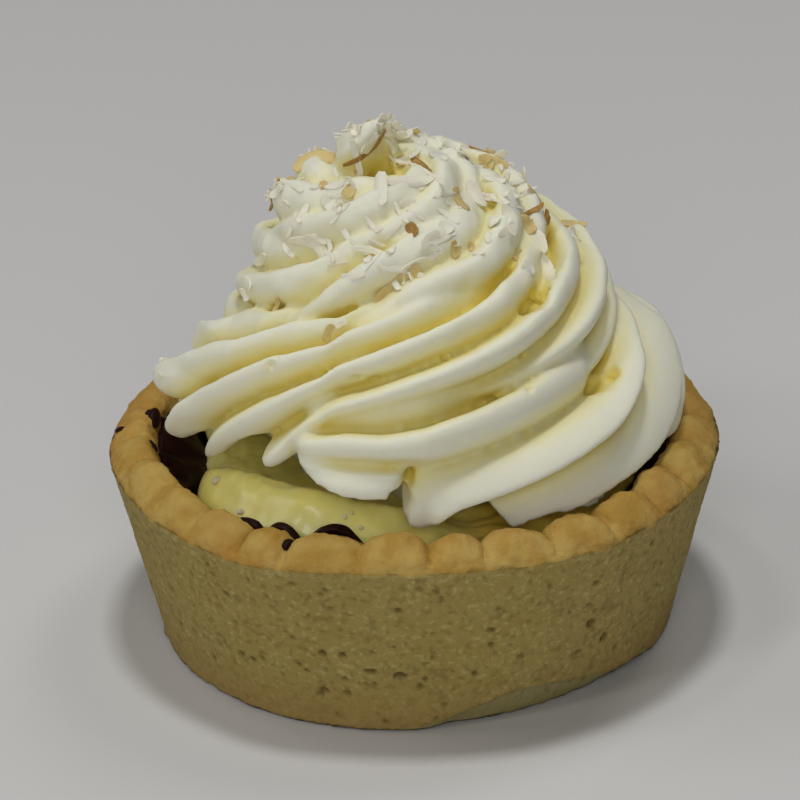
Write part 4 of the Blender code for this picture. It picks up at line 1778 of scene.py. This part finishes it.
        merge = cream.modifiers.new("Merge turns", "REMESH")
        merge.mode = "VOXEL"
        merge.voxel_size = self.grain * MM
        soften = cream.modifiers.new("Soften", "SMOOTH")
        soften.factor = 0.5
        soften.iterations = 3
        apply_all(cream)
        self.cut_underside(cream)
        self.loosen(cream, camera)
        # how enclosed each vertex is, for the painted shade in the grooves
        mark_hollows(cream, self.hollow_reach, 14)
        smooth_shading(cream)
        ride_as(cream, CREAM_FINISH.material(effects, self.dress), ["whipped_cream"], "whipped_cream")
        return cream

    def dress(self, nodes: Nodes, place: Socket, colour: Socket) -> Socket:
        """Paint shade: the flanks of the ridges a little yellower, and the pockets deep yellow.

        Args:
            nodes: The material's nodes.
            place: The point of the surface, not needed here.
            colour: The plain cream.

        Returns:
            The colour.
        """
        flank_shade = nodes.span(nodes.attribute("hollow"), *self.flank_shade_from_to)
        colour = nodes.tinted(colour, flank_shade, 0.8, self.flank_shade)
        return nodes.tinted(colour, nodes.attribute("pocket_shade"), 0.9, self.pocket_shade)

    def core(self) -> Piece:
        """Model the ridged cream inside the spiral, which shows under the rope's end.

        Returns:
            The core.
        """
        height = np.linspace(self.base - 2.0, self.core_top, self.core_rows + 1)[:, None]
        azimuth = circle(self.core_around)[None, :]
        turn = (azimuth + self.core_twist * height) * self.core_ridges / 360.0
        ridge = np.abs(np.cos(np.pi * turn)) ** self.roundness
        radius = np.interp(height, (height[0, 0], self.core_top), (self.core_foot, self.core_peak))
        return moulded("cream_core", polar(radius * (1 - self.core_groove * (1 - ridge)), azimuth, height))

    def cut_underside(self, cream: Piece) -> None:
        """Cut the body level where it sinks into the custard, and thin its mesh.

        Args:
            cream: The merged rope and core.
        """
        pick(cream)
        bpy.ops.object.mode_set(mode="EDIT")
        bpy.ops.mesh.select_all(action="SELECT")
        bpy.ops.mesh.bisect(
            plane_co=(0, 0, self.base * MM), plane_no=(0, 0, 1), use_fill=True, clear_inner=True)
        bpy.ops.object.mode_set(mode="OBJECT")
        shape = bmesh.new()
        shape.from_mesh(cream.data)
        keep_largest(shape)
        triangles = sum(len(face.verts) - 2 for face in shape.faces)
        shape.to_mesh(cream.data)
        shape.free()
        if triangles > self.most_triangles:
            thin = cream.modifiers.new("Fewer faces", "DECIMATE")
            thin.ratio = self.thinned_triangles / triangles
            apply_all(cream)

    def loosen(self, cream: Piece, camera: PhotoCamera) -> None:
        """Give the cream its soft unevenness, its few pits and pockets, and mark where the pockets' painted
        shade goes.

        Args:
            cream: The cream.
            camera: The photograph's camera.
        """
        points = coordinates(cream)
        normals = vertex_normals(cream)
        free = eased((points[:, 2] - self.base - 0.3) / 1.0)
        lift = 0.10 * fractal(points, 7.0, 2, 10) + 0.035 * fractal(points, 1.6, 2, 11)
        lift += 0.45 * fractal(points, 5.0, 2, 13) * eased((points[:, 2] - 46) / 12)
        lift += 0.30 * np.maximum(fractal(points, 2.4, 3, 12) - 0.25, 0) * eased((points[:, 2] - 50) / 10)
        tree = surface(cream)
        # share of the pockets' deep yellow painted shade
        yellow = np.zeros(len(points))
        for spot, (pixel, size, depth) in enumerate(self.pits + self.pockets):
            place = camera.hit(tree, pixel)[0]
            if place is None:
                continue
            away = np.linalg.norm(points - np.array(place) / MM, axis=1)
            bowl = np.clip(1.2 - (away / size) ** 2, 0, 1)
            lift -= depth * bowl
            if spot >= len(self.pits):
                yellow = np.maximum(yellow, bowl)
        mark(cream, "pocket_shade", yellow)
        move_to(cream, points + normals * (lift * free)[:, None])


def keep_largest(shape: bmesh.types.BMesh) -> None:
    """Delete all but the largest connected body of a bmesh.

    Args:
        shape: The bmesh.
    """
    unseen = set(shape.verts)
    largest: set = set()
    while unseen:
        first = unseen.pop()
        body = {first}
        front = [first]
        while front:
            for edge in front.pop().link_edges:
                for vert in edge.verts:
                    if vert in unseen:
                        unseen.discard(vert)
                        body.add(vert)
                        front.append(vert)
        if len(body) > len(largest):
            largest = body
    scraps = [vert for vert in shape.verts if vert not in largest]
    bmesh.ops.delete(shape, geom=scraps, context="VERTS")


# coconut


class Kind(Enum):
    """The three kinds of coconut on the cream."""

    WHITE = "coconut_white"
    TOASTED = "coconut_toasted"
    BROWN = "coconut_browned"


@dataclass
class Coconut:
    """Shreds and flakes of coconut that lie on the cream."""

    # shreds that the photograph shows: kind, width in mm, lift of the ends in mm, pixels
    seen: tuple[tuple[Kind, float, float, tuple[Pixel, ...]], ...] = (
        (Kind.TOASTED, 2.2, 0.3, ((295, 171), (315, 155), (338, 160))),
        (Kind.BROWN, 0.75, 0.7, ((341, 165), (359, 159), (378, 142), (383, 129))),
        (Kind.TOASTED, 1.9, 0.1, ((397, 163), (404, 168))),
        (Kind.BROWN, 0.9, 0.4, ((410, 157), (421, 164), (429, 181))),
        (Kind.WHITE, 1.9, 0.9, ((382, 172), (384, 206))),
        (Kind.WHITE, 1.6, 0.3, ((387, 183), (410, 181), (433, 178))),
        (Kind.TOASTED, 1.5, 0.1, ((319, 185), (326, 188))),
        (Kind.TOASTED, 2.3, 0.1, ((345, 187), (355, 193))),
        (Kind.TOASTED, 0.9, 0.1, ((354, 173), (360, 175))),
        (Kind.WHITE, 1.1, 0.2, ((332, 207), (341, 212))),
        (Kind.WHITE, 2.0, 0.2, ((327, 194), (333, 207))),
        (Kind.TOASTED, 1.3, 0.3, ((454, 188), (458, 197), (463, 213))),
        (Kind.WHITE, 1.8, 0.6, ((470, 180), (481, 209))),
        (Kind.TOASTED, 1.8, 0.2, ((486, 162), (494, 166))),
        (Kind.WHITE, 0.9, 0.4, ((483, 177), (506, 180))),
        (Kind.BROWN, 1.5, 0.2, ((409, 225), (418, 237))),
        (Kind.WHITE, 1.6, 0.5, ((289, 240), (316, 245), (341, 273))),
        (Kind.WHITE, 0.9, 0.3, ((352, 248), (387, 252))),
        (Kind.TOASTED, 1.9, 0.3, ((375, 300), (419, 267))),
        (Kind.TOASTED, 0.7, 0.3, ((274, 310), (278, 294))),
        (Kind.WHITE, 1.0, 0.2, ((311, 236), (327, 243))),
        (Kind.WHITE, 1.2, 0.4, ((270, 197), (286, 189))),
        (Kind.WHITE, 0.8, 0.3, ((283, 243), (297, 257))),
        (Kind.WHITE, 1.2, 0.4, ((244, 277), (254, 289))),
        (Kind.WHITE, 1.5, 0.3, ((423, 247), (440, 233))),
        (Kind.WHITE, 0.9, 0.2, ((428, 243), (443, 252))),
        (Kind.TOASTED, 1.3, 0.2, ((453, 240), (456, 257))),
        (Kind.TOASTED, 0.8, 0.2, ((468, 243), (470, 252))),
        (Kind.WHITE, 1.8, 0.5, ((494, 216), (497, 227))),
        (Kind.WHITE, 1.6, 0.6, ((503, 206), (512, 218), (510, 238))),
        (Kind.TOASTED, 2.0, 0.3, ((519, 224), (534, 234))),
        (Kind.BROWN, 0.8, 0.9, ((543, 232), (559, 217))),
        (Kind.TOASTED, 1.8, 0.4, ((538, 234), (559, 239))),
        (Kind.TOASTED, 1.4, 0.2, ((513, 259), (520, 249))),
        (Kind.WHITE, 1.6, 0.4, ((529, 243), (555, 246), (562, 264))),
        (Kind.WHITE, 2.0, 0.2, ((521, 266), (534, 268))),
        (Kind.WHITE, 2.2, 0.4, ((541, 259), (559, 288))),
        (Kind.WHITE, 1.4, 0.5, ((570, 227), (575, 243))),
        (Kind.TOASTED, 1.0, 0.6, ((561, 222), (587, 224))),
        (Kind.WHITE, 1.5, 0.7, ((352, 124), (366, 119))),
        (Kind.WHITE, 1.1, 0.6, ((352, 134), (362, 130))),
        (Kind.WHITE, 1.3, 0.4, ((442, 144), (460, 149))),
        (Kind.TOASTED, 1.2, 0.3, ((479, 158), (508, 167))),
        (Kind.WHITE, 1.4, 0.3, ((430, 151), (447, 160))),
        (Kind.WHITE, 1.2, 0.4, ((254, 264), (270, 252))),
        (Kind.WHITE, 1.1, 0.4, ((242, 288), (250, 300))),
        (Kind.WHITE, 0.7, 0.2, ((160, 356), (168, 362))),
        (Kind.WHITE, 0.6, 0.2, ((157, 372), (164, 377))),
        (Kind.TOASTED, 1.1, 0.3, ((325, 342), (333, 324))),
        (Kind.WHITE, 1.0, 0.2, ((336, 328), (347, 322))),
        (Kind.WHITE, 1.3, 0.3, ((364, 262), (372, 258))),
        (Kind.WHITE, 1.2, 0.3, ((400, 205), (415, 200))),
        (Kind.WHITE, 1.0, 0.3, ((513, 188), (517, 199))),
        (Kind.WHITE, 1.4, 0.3, ((440, 222), (452, 232))),
    )
    scattered: tuple[tuple[Kind, int], ...] = ((Kind.WHITE, 130), (Kind.TOASTED, 40), (Kind.BROWN, 12))
    facing_photo: float = 0.10
    heights: Row = (49.0, 70.5)
    stations_along: int = 9
    thickness: float = 0.2
    # shortest and longest scattered shreds, and their widths, in millimetres
    white_lengths: Row = (2.2, 6.5)
    other_lengths: Row = (1.6, 5.0)
    widths: Row = (0.8, 1.7)
    # the cream is looked for from this far above a line, and so far down, in millimetres
    probe_above: float = 6.0
    probe_length: float = 9.0
    # how far a shred follows the cream down and up from its middle, and how deep it cuts in
    most_dip: float = 0.5
    most_climb: float = 1.6
    cut_in: float = 0.35
    # where a ray misses the cream, its nearest point is sought on this stretch, in metres
    search_from: float = 0.56
    search_step: float = 0.0016
    search_steps: int = 60
    # small pale shreds half sunk in the cream that faces the photograph: how many, the pixels they
    # lie in, and the column of the middle
    faint: int = 130
    faint_box: tuple[Pixel, Pixel] = ((268, 128), (590, 300))
    faint_middle: float = 400.0
    # their lengths in pixels and widths in millimetres
    faint_lengths: Row = (9, 30)
    faint_widths: Row = (0.45, 1.05)
    # how much lower the area ends in its middle than this many pixels beside it
    faint_reach: float = 200.0
    faint_edge: float = 0.62
    # none lies where the cream turns away from the view more than this
    faint_slant: float = -0.35
    faint_white: float = 0.96
    faint_sink: float = 0.08

    def ribbon(self, path: Array, normal: Array, width: float, draw: random.Random) -> tuple[Array, list]:
        """Model one shred along a path.

        Args:
            path: Points along its middle, in millimetres.
            normal: The direction away from the cream.
            width: Its width in the middle.
            draw: Source of its small differences.

        Returns:
            Its points and faces.
        """
        tangents = unit(np.gradient(path, axis=0))
        twist = np.linspace(draw.uniform(-0.5, 0.5), draw.uniform(-0.5, 0.5), len(path))
        sides = unit(np.cross(normal, tangents))
        ups = np.cross(tangents, sides)
        turned = sides * np.cos(twist)[:, None] + ups * np.sin(twist)[:, None]
        ups = np.cross(tangents, turned)
        share = np.linspace(-1, 1, len(path))
        ends = (draw.uniform(0.6, 1.0), draw.uniform(0.6, 1.0))
        narrow = np.where(share < 0, 1 - (1 - ends[0]) * share ** 2, 1 - (1 - ends[1]) * share ** 2)
        narrow = narrow * np.array([draw.uniform(0.85, 1.1) for _ in path])
        cap = np.sqrt(np.maximum(1 - np.abs(share) ** 14, 0.35))
        half_width = width / 2 * narrow * cap
        half_depth = self.thickness / 2 * (0.6 + 0.4 * cap) * min(1.0, 0.6 + width / 3)
        corners = ((1.0, 0.6), (0.93, 0.95), (0.0, 1.0), (-0.93, 0.95),
                   (-1.0, -0.6), (-0.93, -0.95), (0.0, -1.0), (0.93, -0.95))
        rows = [path + turned * (across * half_width)[:, None] + ups * (rise * half_depth)[:, None]
                for across, rise in corners]
        points = np.stack(rows, axis=1).reshape(-1, 3)
        count = len(corners)
        faces = []
        for step in range(len(path) - 1):
            for spot in range(count):
                beside = (spot + 1) % count
                faces.append((step * count + spot, step * count + beside,
                              (step + 1) * count + beside, (step + 1) * count + spot))
        faces.append(tuple(reversed(range(count))))
        faces.append(tuple((len(path) - 1) * count + spot for spot in range(count)))
        return points, faces

    def curve(self, knots: Array) -> Array:
        """Draw a smooth line of even stations through knots.

        Args:
            knots: Two or more points.

        Returns:
            The stations.
        """
        if len(knots) == 2:
            return knots[0] + np.linspace(0, 1, self.stations_along)[:, None] * (knots[1] - knots[0])
        t = np.linspace(0, len(knots) - 1, self.stations_along)
        line = np.stack([np.interp(t, range(len(knots)), knots[:, axis]) for axis in range(3)], axis=1)
        for _ in range(2):
            line[1:-1] = (line[:-2] + 2 * line[1:-1] + line[2:]) / 4
        return line

    def laid(self, line: Array, normal: Array, tree: BVHTree, lift: float,
             draw: random.Random) -> Array:
        """Lay a straight or bent line on the cream.

        Args:
            line: Points near the surface.
            normal: Direction away from the cream.
            tree: The cream's surface.
            lift: How far the free ends stand up, in millimetres.
            draw: Source of small differences.

        Returns:
            The points, resting on the surface at their middle.
        """
        heights = []
        for point in line:
            start = Vector((point + normal * self.probe_above) * MM)
            place = tree.ray_cast(start, Vector(-normal), self.probe_length * MM)[0]
            missed = place is None
            heights.append(-self.probe_length if missed else float((np.array(place) / MM - point) @ normal))
        heights = np.array(heights)
        middle = heights[len(heights) // 2]
        heights = np.clip(heights, middle - self.most_dip, middle + self.most_climb)
        weights = np.ones(5) / 5
        follow = np.convolve(np.pad(heights, 2, mode="edge"), weights, "valid")
        follow = np.maximum(follow, heights - self.cut_in)
        follow = rounded(follow, 5)
        share = np.linspace(-1, 1, len(line))
        rise = lift * share ** 2 * draw.uniform(0.6, 1.3) + self.thickness * 0.42
        sway = unit(np.cross(normal, line[-1] - line[0]))
        bow = draw.uniform(-0.35, 0.35) * (1 - share ** 2)
        return line + normal * (follow + rise)[:, None] + sway * bow[:, None]

    def from_photo(self, tree: BVHTree, camera: PhotoCamera, draw: random.Random) -> Iterable[tuple]:
        """Give the kind, points and faces of each shred that the photograph shows.

        Args:
            tree: The cream's surface.
            camera: The photograph's camera.
            draw: Source of the random numbers.

        Returns:
            Kind, points and faces of each.
        """
        for kind, width, lift, pixels in self.seen:
            middle = np.array(pixels[len(pixels) // 2])
            if len(pixels) == 2:
                middle = np.mean(pixels, axis=0)
            start, aim = camera.ray(tuple(middle))
            place, facing = tree.ray_cast(start, aim)[:2]
            if place is None:
                place, facing = self.nearest(tree, start, aim)
            towards = -np.array(aim)
            normal = unit(np.array(facing) + 0.7 * towards)
            line = self.curve(camera.on_plane(pixels, np.array(place), normal))
            yield kind, *self.ribbon(self.laid(line, normal, tree, lift, draw), normal, width, draw)

    def nearest(self, tree: BVHTree, start: Vector, aim: Vector) -> tuple[Vector, Vector]:
        """Find the point of the cream that a ray passes closest to.

        Args:
            tree: The cream's surface.
            start: Start of the ray.
            aim: Its direction.

        Returns:
            The point and the normal there.
        """
        best = None
        for step in range(self.search_steps):
            spot = start + aim * (self.search_from + self.search_step * step)
            place, facing, _, distance = tree.find_nearest(spot)
            if best is None or distance < best[0]:
                best = (distance, place, facing)
        return best[1], best[2]

    def elsewhere(self, tree: BVHTree, camera: PhotoCamera, draw: random.Random) -> Iterable[tuple]:
        """Give the kind, points and faces of the shreds on the sides that the photograph hides.

        Args:
            tree: The cream's surface.
            camera: The photograph's camera.
            draw: Source of the random numbers.

        Returns:
            Kind, points and faces of each.
        """
        eye = np.array(camera.stance()[0]) / MM
        for kind, count in self.scattered:
            for number in range(count):
                azimuth = 360.0 * ((number * GOLDEN_SHARE + draw.random() * 0.1) % 1.0)
                height = draw.uniform(*self.heights)
                outward = polar(1.0, azimuth, 0.0)
                aim = unit(-outward - [0, 0, 0.45])
                axis = np.array([np.interp(height, LEAN_HEIGHTS, LEAN_SHIFTS), 0.0, height])
                place, facing = tree.ray_cast(Vector((axis - aim * 60) * MM), Vector(aim))[:2]
                lengths = self.white_lengths if kind is Kind.WHITE else self.other_lengths
                length = draw.uniform(*lengths)
                width = draw.uniform(*self.widths)
                turn = draw.uniform(0, math.pi)
                if place is None:
                    continue
                towards = eye - np.array(place) / MM
                if np.array(facing) @ towards / np.linalg.norm(towards) > self.facing_photo:
                    continue
                normal = unit(np.array(facing) + 0.6 * outward + [0, 0, 0.2])
                level = unit(np.cross([0, 0, 1], normal))
                run = level * math.cos(turn) + np.cross(normal, level) * math.sin(turn)
                spot = np.array(place) / MM
                line = self.curve(np.array([spot - run * length / 2, spot + run * length / 2]))
                path = self.laid(line, normal, tree, draw.uniform(0.1, 0.9), draw)
                yield kind, *self.ribbon(path, normal, width, draw)

    def half_sunk(self, tree: BVHTree, camera: PhotoCamera, draw: random.Random) -> Iterable[tuple]:
        """Give the kind, points and faces of the faint shreds that blend into the cream's top.

        Args:
            tree: The cream's surface.
            camera: The photograph's camera.
            draw: Source of the random numbers.

        Returns:
            Kind, points and faces of each.
        """
        (left, top), (right, bottom) = self.faint_box
        for _ in range(self.faint):
            pixel = np.array([draw.uniform(left, right), draw.uniform(top, bottom)])
            along = np.array([draw.uniform(-1, 1), draw.uniform(-0.8, 0.8)])
            length = draw.uniform(*self.faint_lengths)
            width = draw.uniform(*self.faint_widths)
            # the shreds keep above a line that is lowest in the middle and rises to both sides
            lowest = 1 - self.faint_edge * abs(pixel[0] - self.faint_middle) / self.faint_reach
            if (pixel[1] - top) / (bottom - top) > lowest:
                continue
            start, aim = camera.ray(tuple(pixel))
            place, facing = tree.ray_cast(start, aim)[:2]
            if place is None or facing.dot(aim) > self.faint_slant:
                continue
            along = unit(along)
            normal = np.array(facing)
            ends = [pixel + along * length * share for share in (-0.5, 0.5)]
            line = self.curve(camera.on_plane(ends, np.array(place), normal))
            kind = Kind.WHITE if draw.random() < self.faint_white else Kind.TOASTED
            path = self.laid(line, normal, tree, draw.uniform(0.0, 0.4), draw)
            yield kind, *self.ribbon(path - self.faint_sink * normal, normal, width, draw)

    def build(self, effects: SurfaceEffects, cream: Piece, camera: PhotoCamera) -> None:
        """Model the coconut as one piece for each kind, and dress it.

        Args:
            effects: The shared node groups.
            cream: The cream that it lies on.
            camera: Places the shreds that the photograph shows.
        """
        tree = surface(cream)
        draw = random.Random(SEED + 1)
        heaps = {kind: ([], []) for kind in Kind}
        shreds = [*self.from_photo(tree, camera, draw), *self.elsewhere(tree, camera, draw),
                  *self.half_sunk(tree, camera, draw)]
        for kind, points, faces in shreds:
            corners, sides = heaps[kind]
            shift = sum(len(block) for block in corners)
            corners.append(points)
            sides.extend(tuple(index + shift for index in face) for face in faces)
        finishes = {Kind.WHITE: WHITE_COCONUT, Kind.TOASTED: TOASTED_COCONUT, Kind.BROWN: BROWN_COCONUT}
        for kind, (corners, sides) in heaps.items():
            mesh = bpy.data.meshes.new(kind.value)
            mesh.from_pydata([tuple(point) for point in np.concatenate(corners) * MM], [], sides)
            thing = added(kind.value, mesh)
            face_outwards(thing)
            smooth_shading(thing, 70)
            ride_as(thing, finishes[kind].material(effects))


# crumbs and smears


@dataclass
class SmallBits:
    """Pale crumbs on the custard and chocolate smears on the rim."""

    # crumbs: pixel, size in millimetres
    crumbs: tuple[tuple[Pixel, float], ...] = (
        ((184, 477), 1.1), ((188, 480), 0.8), ((217, 481), 0.6), ((200, 453), 1.0), ((203, 458), 0.7),
        ((240, 512), 0.5), ((181, 482), 0.6), ((345, 517), 0.35), ((352, 513), 0.3), ((361, 528), 0.35),
    )
    # smears: pixel, half length, half width and half thickness in millimetres, turn in degrees
    smears: tuple[tuple[Pixel, float, float, float, float], ...] = (
        ((155, 418), 1.7, 1.1, 0.5, 20), ((162, 424), 1.4, 1.0, 0.5, -30), ((153, 446), 1.3, 0.6, 0.35, 10),
        ((120, 430), 1.0, 0.6, 0.35, 60), ((288, 545), 1.1, 0.7, 0.6, 0), ((150, 413), 0.8, 0.6, 0.35, 0),
    )

    def lump(self, place: Vector, normal: Vector, sizes: tuple, turn: float, seed: int) -> Piece:
        """Model one rough lump: a sphere pressed to its sizes on a surface.

        Args:
            place: Where it sits, in metres.
            normal: Direction away from the surface.
            sizes: Half length, half width and half thickness in millimetres.
            turn: Turn about the normal, in degrees.
            seed: Shape of its roughness.

        Returns:
            The lump.
        """
        start_clean()
        bpy.ops.mesh.primitive_ico_sphere_add(subdivisions=3, radius=1)
        thing = bpy.context.object
        points = coordinates(thing) * MM
        points = points * (1 + 0.22 * fractal(points * 1.3, 1.0, 3, seed))[:, None] * np.array(sizes)
        side = Vector((0, 0, 1)).cross(normal)
        side = (side if side.length > 0.05 else Vector((1, 0, 0))).normalized()
        side.rotate(Quaternion(normal, math.radians(turn)))
        upward = normal.cross(side)
        basis = np.array([side, upward, normal])
        move_to(thing, points @ basis + np.array(place) / MM)
        return thing

    def build(self, effects: SurfaceEffects, camera: PhotoCamera, case: Piece,
              custard: Piece) -> None:
        """Model the crumbs and the smears and dress them.

        Args:
            effects: The shared node groups.
            camera: Places them.
            case: The pastry case that carries the smears.
            custard: The custard that carries the crumbs.
        """
        on_custard, on_case = surface(custard), surface(case)
        crumbs = []
        for number, (pixel, size) in enumerate(self.crumbs):
            place, normal = camera.hit(on_custard, pixel)
            if place is not None:
                crumbs.append(self.lump(place + normal * size * 0.35 * MM, normal,
                                        (size, size * 0.8, size * 0.7), 40 * number, 30 + number))
        smears = []
        for number, (pixel, length, width, depth, turn) in enumerate(self.smears):
            place, normal = camera.hit(on_case, pixel)
            if place is not None:
                smears.append(self.lump(place, normal, (length, width, depth), turn, 60 + number))
        for pieces, name, finish, slot in ((crumbs, "pale_crumbs", CRUMB_FINISH, None),
                                           (smears, "chocolate_smears", CHOCOLATE_FINISH, "dark_chocolate")):
            thing = joined(pieces, name)
            smooth_shading(thing)
            ride_as(thing, finish.material(effects), slot=slot)


def main() -> None:
    """Build the pie in order, from the camera to the last crumb."""
    logging.basicConfig(level=logging.INFO, format="%(name)s %(message)s")
    effects = SurfaceEffects()
    camera = PhotoCamera()
    camera.build()
    Studio().build()
    pastry = PastryCase()
    case = pastry.build(effects)
    filling = Filling(pastry)
    filling.lining(effects)
    custard = filling.custard(effects)
    cream = PipedCream().build(effects, camera)
    Coconut().build(effects, cream, camera)
    SmallBits().build(effects, camera, case, custard)


if __name__ == "__main__":
    main()
